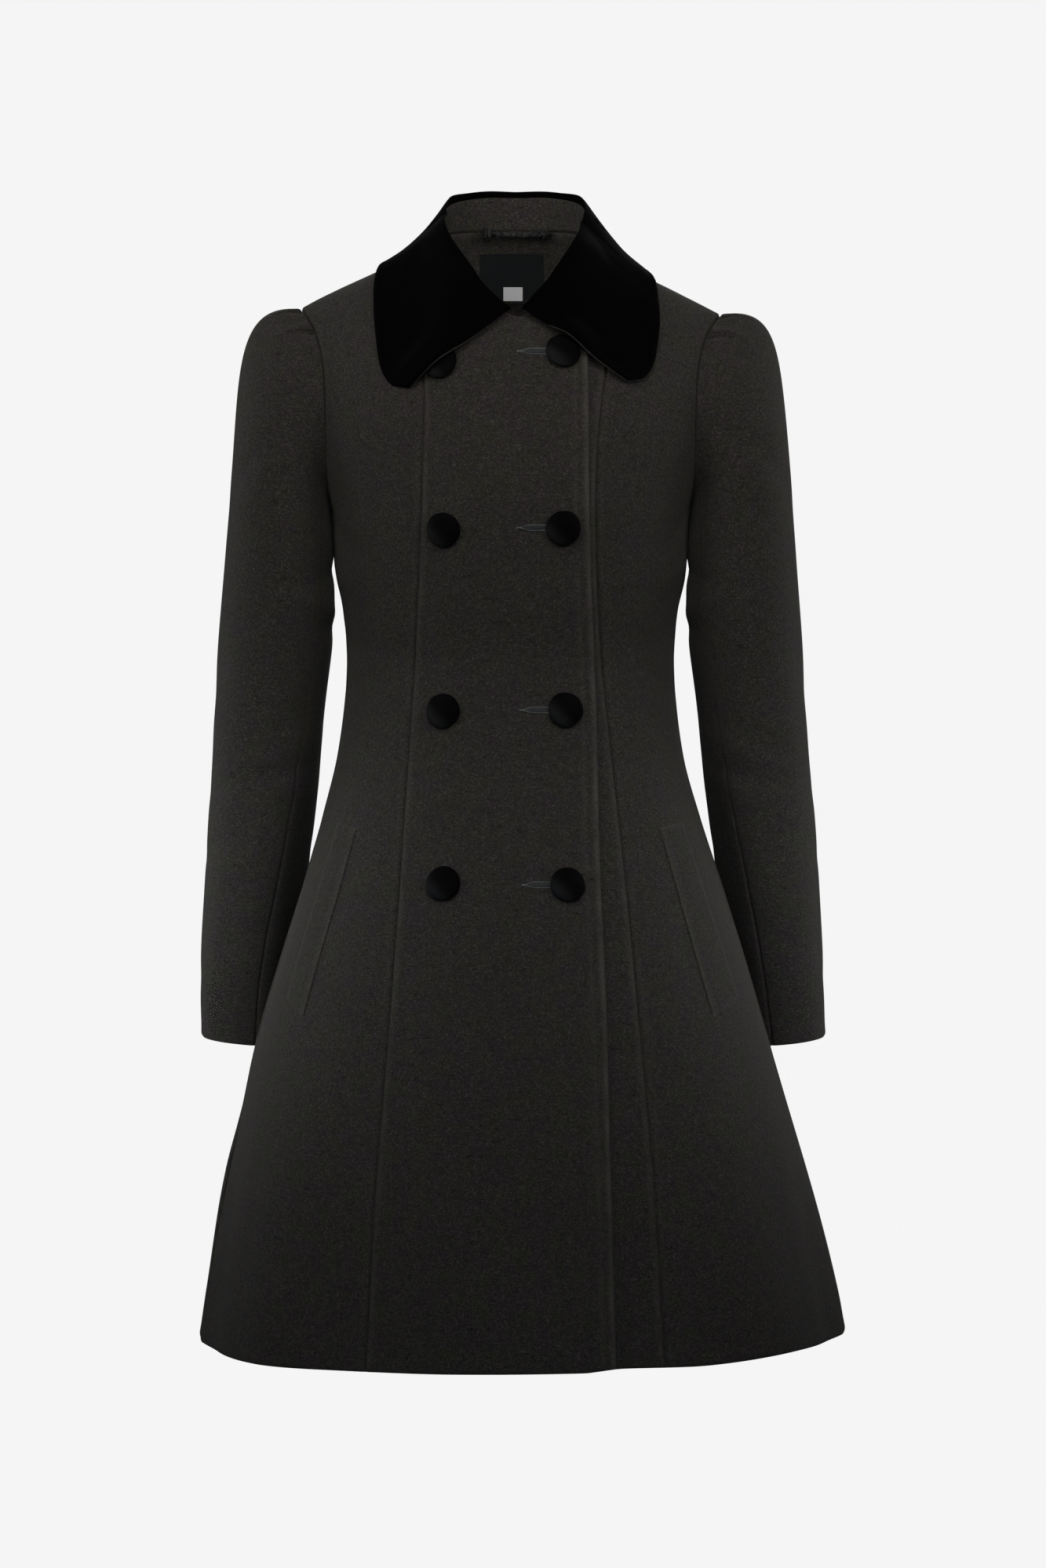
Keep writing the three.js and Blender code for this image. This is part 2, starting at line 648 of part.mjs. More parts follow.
const COLLAR = {
  stations: 9, steps: 2, sideStation: 4, flatFrom: 5, standEnd: 6.5, rimDepth: 5, standGap: 1.4, rest: 3.2,
  layers: VELVET + SEAM_GAP + UNDER_COLLAR,
};
const BUTTON = { radius: 14, height: 6.3, segments: 16 };
// How the collar turns over: shares of the way to the edge, and heights in millimetres
const TURN = { out: 0.16, up: 1, middle: 0.5, drop: 3, bulge: 11 };
const LEAF = { right: { wide: -1, drop: -3 }, left: { wide: 4, drop: 4 } };
// Places across the fall, from the fold line to the outer edge
const FALL = [0.07, 0.2, 0.38, 0.58, 0.8, 1];

function collarStation(at, side) {
  const leaf = side < 0 ? LEAF.right : LEAF.left;
  const share = collar('leaf', at);
  const read = (name) =>
    vec(
      NECK_CENTRE_X + side * collar(`${name}X`, at),
      collar(`${name}Y`, at),
      collar(`${name}Z`, at),
    );
  const [roll, edge] = ['roll', 'edge'].map(read);
  edge.x += side * leaf.wide * share;
  edge.z += leaf.drop * share;
  const back = at < COLLAR.sideStation;
  const along = back
    ? 1 - at / COLLAR.sideStation
    : (at - COLLAR.sideStation) / (COLLAR.stations - COLLAR.sideStation);
  const seam = neckPoint(along, side, back);
  const base = bodySurface(seam.angle, seam.z);
  // Towards the front ends the collar has no stand and lies flat on the fronts
  const flat = smooth((at - COLLAR.flatFrom) / (COLLAR.stations - 1 - COLLAR.flatFrom));
  const fold = clearOfBody(roll, (collarClearance(roll) + 0.5) * flat);
  return { at, base, roll: fold, edge, flat };
}

// The least height of the collar's upper side over the coat: more over the lap and its buttons
function collarClearance(p) {
  const onFront = smooth((-20 - p.y) / 40);
  const overLap = smooth((p.x + 75) / 30) * onFront;
  const overButtons = smooth((-70 - p.z) / 22) * onFront;
  return COLLAR.layers + COLLAR.rest + OVERLAP_LIFT * overLap + BUTTON.height * overButtons;
}

// Points across the fall, from near the fold line to the outer edge
function fallPoints({ roll, edge, flat }) {
  const toEdge = edge.clone().sub(roll);
  const out = roll.clone().add(vec(toEdge.x * TURN.out, toEdge.y * TURN.out, TURN.up));
  const over = edge.clone().addScaledVector(toEdge, -TURN.middle).add(vec(0, 0, -TURN.drop));
  const middle = clearOfBody(over, TURN.bulge);
  const rested = clearOfBody(edge, COLLAR.layers + COLLAR.rest);
  const curve = new THREE.CubicBezierCurve3(roll, out, middle, rested);
  return FALL.map((share) => {
    const p = curve.getPoint(share);
    return clearOfBody(p, collarClearance(p) * Math.min(1, share * 3 + flat));
  });
}

function rimPoint({ base, roll, flat }) {
  const down = base.clone().sub(roll);
  const length = Math.min(COLLAR.rimDepth, down.length() * 0.4);
  const rim = roll.clone().addScaledVector(down.normalize(), length);
  const inward = vec(NECK_CENTRE_X - roll.x, -roll.y, 0).normalize();
  rim.addScaledVector(inward, 1.5 * (1 - flat));
  return clearOfBody(rim, collarClearance(rim) * flat);
}

const stations = [];
for (let step = -COLLAR.stations * COLLAR.steps; step <= COLLAR.stations * COLLAR.steps; step++) {
  stations.push(collarStation(Math.abs(step) / COLLAR.steps, step < 0 ? -1 : 1));
}
const rims = stations.map(rimPoint);
const leafPoints = stations.map((station, i) => [rims[i], station.roll, ...fallPoints(station)]);
// Inside the fold, between the stand and the fall
const foldHeart = (row, column) => {
  const { base, edge } = stations[row];
  return column < 2 ? base.clone().lerp(edge, 0.25) : vec(NECK_CENTRE_X, 0, -60);
};
const leafNormals = gridNormals(leafPoints, foldHeart);
addMesh('top_collar', wall(leafPoints, offset(leafPoints, leafNormals, -VELVET)), velvet());

const UNDER_FROM = 3;
const underPoints = leafPoints.map((line) => line.slice(UNDER_FROM));
const underNormals = leafNormals.map((line) => line.slice(UNDER_FROM));
const underTop = offset(underPoints, underNormals, -VELVET - SEAM_GAP);
const underFoot = offset(underPoints, underNormals, -COLLAR.layers);
addMesh('under_collar', wall(underTop, underFoot), wool());

const standing = stations.map((station, i) => ({ ...station, rim: rims[i] }));
const stood = standing.filter(({ at }) => at <= COLLAR.standEnd);
const standPoints = stood.map(({ base, rim }) => {
  const up = rim.clone().sub(base).normalize();
  const top = rim.clone().addScaledVector(up, -COLLAR.standGap);
  const foot = base.clone().addScaledVector(up, COLLAR.standGap);
  return [foot, foot.clone().lerp(top, 0.5), top];
});
const standNormals = gridNormals(standPoints, (row) => stood[row].edge);
addMesh('collar_stand', wall(standPoints, offset(standPoints, standNormals, -STAND)), wool());

// Buttons: x and level of each middle
const BUTTON_ROWS = [
  { left: { x: 40.4, z: -93 }, right: { x: -54, z: -101 } },
  { left: { x: 40.4, z: -231 }, right: { x: -51.5, z: -232.5 } },
  { left: { x: 42.4, z: -375 }, right: { x: -51.8, z: -376 } },
  { left: { x: 44, z: -513 }, right: { x: -51.3, z: -512.5 } },
];

// Where a line from the front, along the depth, meets a panel
function onPanel(panel, x, z) {
  const ray = new THREE.Raycaster(vec(x, -400, z), vec(0, 1, 0));
  return ray.intersectObject(panel)[0].point;
}

function buttonSeat(x, z) {
  const panel = coat.getObjectByName('front_right_center');
  const normal = bodyNormal(bodySurface(angleOf(x, z), z));
  const middle = onPanel(panel, x, z);
  let height = 0;
  for (let i = 0; i < 24; i++) {
    const turn = (i * Math.PI) / 6;
    const reach = BUTTON.radius * (i < 12 ? 0.92 : 0.55);
    const rim = onPanel(panel, x + reach * Math.cos(turn), z + reach * Math.sin(turn));
    height = Math.max(height, rim.sub(middle).dot(normal));
  }
  return { normal, point: middle.addScaledVector(normal, height + SEAM_GAP) };
}

function buttonShape() {
  const { radius, height, segments } = BUTTON;
  const profile = [
    new THREE.Vector2(0, 0),
    new THREE.Vector2(radius * 0.9, 0),
    new THREE.Vector2(radius, height * 0.22),
    new THREE.Vector2(radius * 0.93, height * 0.55),
    new THREE.Vector2(radius * 0.6, height * 0.88),
    new THREE.Vector2(0, height),
  ];
  return new THREE.LatheGeometry(profile, segments);
}

BUTTON_ROWS.forEach((row, i) => {
  for (const [name, { x, z }] of Object.entries(row)) {
    const { point, normal } = buttonSeat(x, z);
    const mesh = new THREE.Mesh(buttonShape(), velvet());
    mesh.name = `button_${name}_${i + 1}`;
    mesh.position.copy(point);
    mesh.quaternion.setFromUnitVectors(vec(0, 1, 0), normal);
    coat.add(mesh);
  }
});

// Slanted pocket welts on the side fronts: levels and angles of the front and back corners
const WELTS = {
  right: { side: -1, topFront: 51.5, topBack: 59.5, footFront: 57.5, footBack: 66 },
  left: { side: 1, topFront: 47, topBack: 55, footFront: 53, footBack: 61.5 },
};
const WELT_LEVELS = { topFront: -468, topBack: -463, footFront: -617, footBack: -603, rows: 8, columns: 3 };

for (const [name, welt] of Object.entries(WELTS)) {
  const points = [];
  const normals = [];
  for (let row = 0; row <= WELT_LEVELS.rows; row++) {
    const down = row / WELT_LEVELS.rows;
    const line = [];
    for (let column = 0; column <= WELT_LEVELS.columns; column++) {
      const across = column / WELT_LEVELS.columns;
      const level = (end) => lerp(WELT_LEVELS[`${end}Front`], WELT_LEVELS[`${end}Back`], across);
      const angle = (end) => lerp(welt[`${end}Front`], welt[`${end}Back`], across);
      const turn = welt.side * lerp(angle('top'), angle('foot'), down) * DEG;
      const z = lerp(level('top'), level('foot'), down);
      const point = bodySurface(turn, z);
      line.push(point.addScaledVector(bodyNormal(point), skirtFold(turn, z) + SEAM_GAP * 3 + WELT));
    }
    points.push(line);
    normals.push(line.map(bodyNormal));
  }
  addMesh(`pocket_welt_${name}`, wall(points, offset(points, normals, -WELT)), wool());
}

// Inside the back neck: the facing, made from the centre back's own points, and what is sewn to it
const FACING_ROWS = 4;
const facingPoints = backCentre.points.slice(-FACING_ROWS).map((line) => line.slice(1, -1));
const facingNormals = backCentre.normals.slice(-FACING_ROWS).map((line) => line.slice(1, -1));
const facingOuter = offset(facingPoints, facingNormals, -WOOL - SEAM_GAP);
const facingInner = offset(facingPoints, facingNormals, -WOOL - SEAM_GAP - FACING);
addMesh('back_neck_facing', wall(facingOuter, facingInner), wool());

const FACING_INSIDE = WOOL + SEAM_GAP + FACING;

function addPatch(name, { x, z, width, height, columns, depth, material }) {
  const points = [];
  for (const level of [z + height / 2, z, z - height / 2]) {
    const line = [];
    for (let column = 0; column <= columns; column++) {
      const at = x + width * (column / columns - 0.5);
      line.push(bodySurface(angleOf(at, level, true), level));
    }
    points.push(line);
  }
  const normals = points.map((line) => line.map(bodyNormal));
  const near = offset(points, normals, -depth);
  const far = offset(points, normals, -depth - LABEL);
  addMesh(name, wall(near, far), material);
}

addPatch('neck_label', {
  x: 4, z: -12, width: 54, height: 29, columns: 8, depth: FACING_INSIDE + 1.7, material: woven(0x16171a),
});
addPatch('size_tab', {
  x: 4, z: -32.5, width: 16, height: 10.5, columns: 2, depth: FACING_INSIDE + 1.7, material: woven(0xe8e8e4),
});

// The hanger loop, a short cord across the neck seam
const LOOP = { halfLength: 29, z: 19, sag: 3.5, endY: 45, middleY: 50, radius: 1.6, sides: 6, steps: 14 };
const loopPath = new THREE.QuadraticBezierCurve3(
  vec(NECK_CENTRE_X - LOOP.halfLength, LOOP.endY, LOOP.z),
  vec(NECK_CENTRE_X, LOOP.middleY, LOOP.z - LOOP.sag),
  vec(NECK_CENTRE_X + LOOP.halfLength, LOOP.endY, LOOP.z),
);
const loopSection = new THREE.Shape();
for (let i = 0; i <= LOOP.sides; i++) {
  const turn = (2 * Math.PI * i) / LOOP.sides;
  const [x, y] = [LOOP.radius * Math.cos(turn), LOOP.radius * Math.sin(turn)];
  if (i === 0) loopSection.moveTo(x, y);
  else loopSection.lineTo(x, y);
}
const loopShape = new THREE.ExtrudeGeometry(loopSection, { steps: LOOP.steps, extrudePath: loopPath });
addMesh('hanger_loop', loopShape, woven(0x0c0c0e));

export default coat;
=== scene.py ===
import math

import bpy
import numpy as np
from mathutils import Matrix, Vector


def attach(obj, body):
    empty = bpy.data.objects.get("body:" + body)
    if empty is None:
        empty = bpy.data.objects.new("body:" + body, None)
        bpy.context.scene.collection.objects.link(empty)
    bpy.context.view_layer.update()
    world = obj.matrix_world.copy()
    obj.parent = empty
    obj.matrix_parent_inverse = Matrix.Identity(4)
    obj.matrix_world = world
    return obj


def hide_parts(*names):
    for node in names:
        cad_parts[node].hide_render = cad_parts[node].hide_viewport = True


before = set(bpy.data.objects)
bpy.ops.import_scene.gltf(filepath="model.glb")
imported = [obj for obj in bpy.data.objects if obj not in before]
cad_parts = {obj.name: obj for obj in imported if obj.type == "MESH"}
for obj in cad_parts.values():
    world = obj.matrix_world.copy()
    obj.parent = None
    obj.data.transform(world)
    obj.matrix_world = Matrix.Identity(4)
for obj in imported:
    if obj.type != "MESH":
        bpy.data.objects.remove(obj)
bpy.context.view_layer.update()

# The coat is worked out in millimetres and made in metres
MM = 0.001
DEG = math.pi / 180

# The photograph's view: 1333 by 1999 pixels, 0.636 mm to a pixel at the coat's middle depth
PHOTO_HEIGHT = 1999
PIXEL_MM = 0.636
CAMERA_AWAY = 4000
CAMERA_X, CAMERA_Z = 9.86, -433
SENSOR = 36

# Cloth thicknesses and clearances
WOOL = 2.4
VELVET = 1.2
UNDER_COLLAR = 1.0
STAND = 1.8
FACING = 1.2
LABEL = 0.6
WELT_SHOWS = 1.3
SEAM_GAP = 0.3
OVERLAP_LIFT = 3.7

# Levels and places
HEM_Z = -886
UNDERARM_Z = -212
SHOULDER_TIP_X = 170
SIDE_NECK_X = 74
NECK_CENTRE_X = 4

# A panel's rows are counted from the hem up to the underarm, and on to its top
SKIRT_ROWS = 15
TOP_ROWS = 7
ROWS = SKIRT_ROWS + TOP_ROWS


def lerp(a, b, t):
    return a + (b - a) * t


def smooth(t):
    t = np.clip(t, 0, 1)
    return t * t * (3 - 2 * t)


def bump(distance, width):
    """A soft ridge across a distance: 1 in its middle."""
    return np.exp(-((distance / width) ** 2))


def ridges(distance, profile):
    """The sum of soft ridges beside an edge: height of each, its distance from the edge, its width."""
    return sum(height * bump(distance - at, width) for height, at, width in profile)


def half_turn(degrees):
    """The same angle, from -180 to 180."""
    return (degrees + 540) % 360 - 180


def unit(v):
    return v / np.maximum(np.linalg.norm(v, axis=-1, keepdims=True), 1e-9)


def lengths(points, axis):
    return np.linalg.norm(np.diff(points, axis=axis), axis=-1).sum(axis=axis)


def distances(points, axis):
    """The way along a grid of points, from its start to each of them."""
    step = np.linalg.norm(np.diff(points, axis=axis), axis=-1)
    start = np.zeros((1, step.shape[1])) if axis == 0 else np.zeros((step.shape[0], 1))
    return np.concatenate([start, np.cumsum(step, axis=axis)], axis=axis)


def close_at_ends(count):
    """Places from 0 to 1, close together at both ends."""
    return np.concatenate([[0, 0.008, 0.018], np.linspace(0.03, 0.97, count), [0.982, 0.992, 1]])


class Sections:
    """Columns of a short table, read along a smooth curve through its rows."""

    def __init__(self, key, rows):
        rows = sorted(rows, key=lambda row: row[key])
        self.at = np.array([row[key] for row in rows], float)
        self.columns = {name: np.array([row[name] for row in rows], float) for name in rows[0]}

    def __call__(self, name, at):
        at = np.clip(np.asarray(at, float), self.at[0], self.at[-1])
        values = self.columns[name]
        last = len(self.at) - 1
        i = np.clip(np.searchsorted(self.at, at, side="right") - 1, 0, last - 1)
        before, after = np.maximum(i - 1, 0), np.minimum(i + 2, last)
        slope_a = (values[i + 1] - values[before]) / (self.at[i + 1] - self.at[before])
        slope_b = (values[after] - values[i]) / (self.at[after] - self.at[i])
        span = self.at[i + 1] - self.at[i]
        t = (at - self.at[i]) / span
        lead = t * (1 - t) ** 2 * span * slope_a
        trail = t * t * (t - 1) * span * slope_b
        return lerp(values[i], values[i + 1], t * t * (3 - 2 * t)) + lead + trail


def table(key, names, *rows):
    """A table with named columns, a row for each section."""
    columns = names.split()
    return Sections(key, [dict(zip(columns, row)) for row in rows])


# Body sections: half width, depth of front and back from the middle line, and the middle's shift
BODY = table(
    "z", "z half front back shift_x shift_y",
    (22, 188, 88, 60, 0, 0),
    (-48, 185, 92, 92, 0, 0),
    (-100, 176, 108, 106, 0, 0),
    (-154, 161, 120, 110, 0, 0),
    (-212, 146, 124, 108, 0, 0),
    (-242, 143.6, 119.7, 104, 0, 0),
    (-268, 141, 115.9, 100.7, 0, 0),
    (-292, 135.8, 112.1, 98, 0, 0),
    (-338, 132.5, 104, 94, 0, 0),
    (-408, 140, 110, 102, 0, 0),
    (-459, 153, 121, 112, 0.4, -2),
    (-516, 170, 134, 122, 1.2, -6),
    (-615, 200, 153, 138, 1.5, -12),
    (-738, 233, 175, 160, 5, -14),
    (-840, 254.5, 190, 176, 9, -14),
    (-886, 262, 196, 183, 10, -14),
)
BOXINESS = 0.05
FRONT_SHOULDER_DROP = 150
BACK_SHOULDER_DROP = 70
SHOULDER_SLOPE = 0.5
NECK_SLOPE = 1.3

# Soft folds of the skirt: angle, height out of the surface, half width in degrees, upper end
FOLDS = (
    (20, -9, 8, -360),
    (44, 6, 15, -560),
    (-46, 6, 15, -560),
    (-8, 3, 22, -420),
    (68, -4, 12, -600),
    (-70, -4, 12, -600),
    (114, -9, 20, -430),
    (-114, -9, 20, -430),
    (140, 8, 16, -470),
    (-143, 8, 16, -470),
    (163, -7, 13, -500),
    (-166, -7, 13, -500),
    (180, 5, 12, -520),
)

# Seams and edges of the fronts: x at each level
SEAMS = table(
    "z", "z overlap right_princess left_princess",
    (-13, 60, -100, 100),
    (-66, 60, -78, 84),
    (-120, 61, -69, 74),
    (-180, 61, -70, 68.5),
    (-250, 62, -72, 68),
    (-345, 66, -77, 73.5),
    (-500, 70, -87, 90),
    (-620, 76, -95, 101),
    (-740, 79, -104, 112),
    (-886, 82, -112, 122),
)
SHOULDER_PRINCESS_X = 100
UNDERLAP_X = -36
OVERLAP_TOP_Z, UNDERLAP_TOP_Z = -68, -72
SIDE_SEAM_ANGLE, SIDE_SEAM_WAIST_Z = 80, -330
BACK_SEAM_HEM, BACK_SEAM_WAIST, BACK_SEAM_WAIST_Z, BACK_SEAM_TOP_X = 148, 144, -338, 96

NECKLINE = table(
    "at", "at front_x front_z back_x back_z",
    (0, 74, 0, 74, 0),
    (0.25, 69, -11, 65, 9),
    (0.5, 54, -30, 49, 18),
    (0.75, 30, -50, 26, 21),
    (1, 0, -64, 0, 22),
)
TOP_SHOULDER, TOP_NECK = 0.2, 0.72

# The wearer's left shoulder hangs a little lower than the right one
LEFT_SHOULDER_DROP, LEFT_SHOULDER_RUN = 4.5, 30

# Armhole: x at the underarm, further out at the shoulder tip and the sides, middle level, half height
ARMHOLE_X, ARMHOLE_REACH, ARMHOLE_BULGE = 145, 25, 3
ARMHOLE_Z, ARMHOLE_HALF = -130, 82
NEARLY_ALL = 1 - 1e-7


def shoulder_height(x):
    """Level of the shoulder line, which rises steeply inside the neck's side."""
    out = np.abs(x) - SIDE_NECK_X
    level = -out * np.where(out > 0, SHOULDER_SLOPE, NECK_SLOPE)
    return level - LEFT_SHOULDER_DROP * smooth((x - SIDE_NECK_X) / LEFT_SHOULDER_RUN)


def fall_below(drop, distance):
    """How far the coat has widened out of the shoulder line, 0 to 1, at a distance below it."""
    return 1 - (1 - np.clip(distance / drop, 0, 1)) ** 2


def skirt_fold(angle, z):
    """Height of the skirt's soft folds at an angle and a level."""
    height = np.zeros(np.broadcast(angle, z).shape)
    for middle, rise_mm, width, top in FOLDS:
        turn = np.abs(half_turn(angle / DEG - middle))
        across = np.where(turn < width, 0.5 + 0.5 * np.cos(np.pi * turn / width), 0)
        height += rise_mm * across * smooth((top - z) / (top - HEM_Z))
    return height


def body_surface(angle, z):
    """The coat's outer surface at an angle about its middle and a level."""
    angle, z = np.broadcast_arrays(np.asarray(angle, float), np.asarray(z, float))
    rounding = 1 + BOXINESS * np.sin(2 * angle) ** 2
    x = BODY("shift_x", z) + BODY("half", z) * np.sin(angle) * rounding
    front = np.cos(angle) > 0
    drop = np.where(front, FRONT_SHOULDER_DROP, BACK_SHOULDER_DROP)
    shoulder = np.sqrt(fall_below(drop, shoulder_height(x) - z))
    depth = np.where(front, BODY("front", z), BODY("back", z)) * shoulder
    return np.stack([x, BODY("shift_y", z) - depth * np.cos(angle) * rounding, z], -1)


def body_level(p):
    """Negative inside the body, 0 on its surface and positive outside."""
    across = (p[..., 0] - BODY("shift_x", p[..., 2])) / BODY("half", p[..., 2])
    y = p[..., 1] - BODY("shift_y", p[..., 2])
    front = y < 0
    drop = np.where(front, FRONT_SHOULDER_DROP, BACK_SHOULDER_DROP)
    below = (shoulder_height(p[..., 0]) - p[..., 2]) / drop
    fall = np.where(below < 0, 2 * below, fall_below(1, below))
    depth = np.where(front, BODY("front", p[..., 2]), BODY("back", p[..., 2]))
    return (y / depth) ** 2 - (1 - across**2) * fall


def body_slope(p, step=0.5):
    """How fast the body's level changes along each axis."""
    slopes = [(body_level(p + step * axis) - body_level(p - step * axis)) / (2 * step) for axis in np.eye(3)]
    return np.stack(slopes, -1)


def body_normal(p):
    return unit(body_slope(p))


def clear_of_body(p, clearance):
    """Moves points out of the body until they are a clearance away."""
    p = np.array(p, float)
    clearance = np.broadcast_to(clearance, p.shape[:-1])
    for _ in range(6):
        slope = body_slope(p)
        size = np.linalg.norm(slope, axis=-1)
        short = np.maximum(clearance - body_level(p) / size, 0) * 0.8
        p += slope / size[..., None] * short[..., None]
    return p


def angle_of(x, z, back=False):
    """The angle of a point given by x and level, on the front or the back."""
    target = (np.asarray(x, float) - BODY("shift_x", z)) / BODY("half", z)
    angle = np.arcsin(np.clip(target, -1, 1))
    for _ in range(8):
        angle = np.arcsin(np.clip(target / (1 + BOXINESS * np.sin(2 * angle) ** 2), -1, 1))
    return np.where(back, np.pi - angle, angle)


def armhole(turn, side):
    """The armhole by its angle: 0 at the shoulder tip, 90 front, 180 underarm, 270 back."""
    turn = np.asarray(turn, float) % (2 * np.pi)
    top = ((1 + np.cos(turn)) / 2) ** 6
    x = ARMHOLE_X + ARMHOLE_REACH * top + ARMHOLE_BULGE * np.abs(np.sin(turn))
    drop = LEFT_SHOULDER_DROP / 2 if side > 0 else 0
    z = ARMHOLE_Z - drop + (ARMHOLE_HALF - drop) * np.cos(turn)
    return side * angle_of(x, z, turn > np.pi), z


def neck_point(at, side, back):
    x = NECK_CENTRE_X * smooth(at) + side * NECKLINE("back_x" if back else "front_x", at)
    z = NECKLINE("back_z" if back else "front_z", at)
    return angle_of(x, z, back), z


def shoulder_point(x, back=False):
    z = shoulder_height(x)
    return angle_of(x, z, back), z


def rise(w):
    """A panel's rows lie closer together towards its top."""
    return lerp(w, np.sin(w * np.pi / 2), 0.6)


def seam_line(below, above):
    """A seam gives an angle and a level for each row of a panel, hem to top."""

    def at(row):
        row = np.asarray(row, float)
        low_z = lerp(HEM_Z, UNDERARM_Z, np.minimum(row / SKIRT_ROWS, 1))
        high_angle, high_z = above(np.clip((row - SKIRT_ROWS) / TOP_ROWS, 0, 1))
        low = row <= SKIRT_ROWS
        return np.where(low, below(low_z), high_angle), np.where(low, low_z, high_z)

    return at


def front_seam(column, top_z):
    def angle(z):
        return angle_of(SEAMS(column, z), z)

    def above(w):
        z = lerp(UNDERARM_Z, top_z, rise(w))
        return angle(z), z

    return seam_line(angle, above)


def underlap_above(w):
    z = lerp(UNDERARM_Z, UNDERLAP_TOP_Z, rise(w))
    return angle_of(UNDERLAP_X, z), z


UNDERLAP_EDGE = seam_line(lambda z: angle_of(UNDERLAP_X, z), underlap_above)


def side_seam(side, back):
    whole_turn = 2 * np.pi if back and side < 0 else 0

    def below(z):
        up = smooth((z - SIDE_SEAM_WAIST_Z) / (UNDERARM_Z - SIDE_SEAM_WAIST_Z))
        return side * lerp(SIDE_SEAM_ANGLE, 90, up) * DEG + whole_turn

    def above(w):
        # A back seam ends just short of the full turn, which would count as the front again
        turn = np.pi * (1 + np.minimum(w, NEARLY_ALL)) if back else np.pi * (1 - w)
        angle, z = armhole(turn, side)
        # The underarm itself counts as the front's edge
        angle = np.where(np.isclose(w, 0), side * np.pi / 2, angle)
        return angle + whole_turn, z

    return seam_line(below, above)


def back_seam(side):
    top_z = float(shoulder_height(BACK_SEAM_TOP_X))
    top = angle_of(BACK_SEAM_TOP_X, top_z, True)

    def around(angle):
        return angle if side > 0 else 2 * np.pi - angle

    def below(z):
        return lerp(BACK_SEAM_WAIST, BACK_SEAM_HEM, smooth((BACK_SEAM_WAIST_Z - z) / 400)) * DEG

    def above(w):
        z = lerp(UNDERARM_Z, top_z, rise(w))
        return around(lerp(below(UNDERARM_Z), top, smooth(w))), z

    return seam_line(lambda z: around(below(z)), above)


def by_parts(u, *parts):
    """Joins (angle, z) curves, each for its own share of a top edge: (from, to, curve)."""
    angle, z = np.zeros(u.shape), np.zeros(u.shape)
    for low, high, curve in parts:
        here = (u >= low - 1e-9) & (u <= high + 1e-9)
        a, level = curve(np.clip((u - low) / (high - low), 0, 1))
        angle, z = np.where(here, a, angle), np.where(here, level, z)
    return angle, z


def shoulder_part(start, end, back=False):
    return lambda t: shoulder_point(lerp(start, end, t), back)


def front_centre_top(side, lap_x, lap_z):
    """A centre front's top edge: shoulder, neck, and on past the middle to the free edge."""

    def lap(t):
        z = lerp(NECKLINE("front_z", 1), lap_z, t)
        return angle_of(lerp(NECK_CENTRE_X, lap_x(z), t), z), z

    return lambda u: by_parts(
        u if side < 0 else 1 - u,
        (0, TOP_SHOULDER, shoulder_part(side * SHOULDER_PRINCESS_X, side * SIDE_NECK_X)),
        (TOP_SHOULDER, TOP_NECK, lambda t: neck_point(t, side, False)),
        (TOP_NECK, 1, lap),
    )


RIGHT_CENTRE_TOP = front_centre_top(-1, lambda z: SEAMS("overlap", z), OVERLAP_TOP_Z)
LEFT_CENTRE_TOP = front_centre_top(1, lambda z: UNDERLAP_X, UNDERLAP_TOP_Z)


def back_centre_top(u):
    half = TOP_SHOULDER / 2
    return by_parts(
        u,
        (0, half, shoulder_part(BACK_SEAM_TOP_X, SIDE_NECK_X, True)),
        (half, 0.5, lambda t: neck_point(t, 1, True)),
        (0.5, 1 - half, lambda t: neck_point(1 - t, -1, True)),
        (1 - half, 1, shoulder_part(-SIDE_NECK_X, -BACK_SEAM_TOP_X, True)),
    )


def side_top(side, start, back):
    return lambda u: shoulder_point(side * lerp(start, SHOULDER_TIP_X, u), back)


# Camera and light
def place_camera():
    """A camera level with the coat's middle, as far off as the photograph's."""
    data = bpy.data.cameras.new("camera")
    data.sensor_width = SENSOR
    data.lens = SENSOR * CAMERA_AWAY / (PHOTO_HEIGHT * PIXEL_MM)
    data.clip_start, data.clip_end = 0.1, 60
    camera = bpy.data.objects.new("camera", data)
    camera.location = (CAMERA_X * MM, -CAMERA_AWAY * MM, CAMERA_Z * MM)
    camera.rotation_euler = (math.pi / 2, 0, 0)
    bpy.context.collection.objects.link(camera)
    bpy.context.scene.camera = camera
    # True blacks for the velvet and a clean pale ground
    bpy.context.scene.view_settings.view_transform = "Standard"


place_camera()


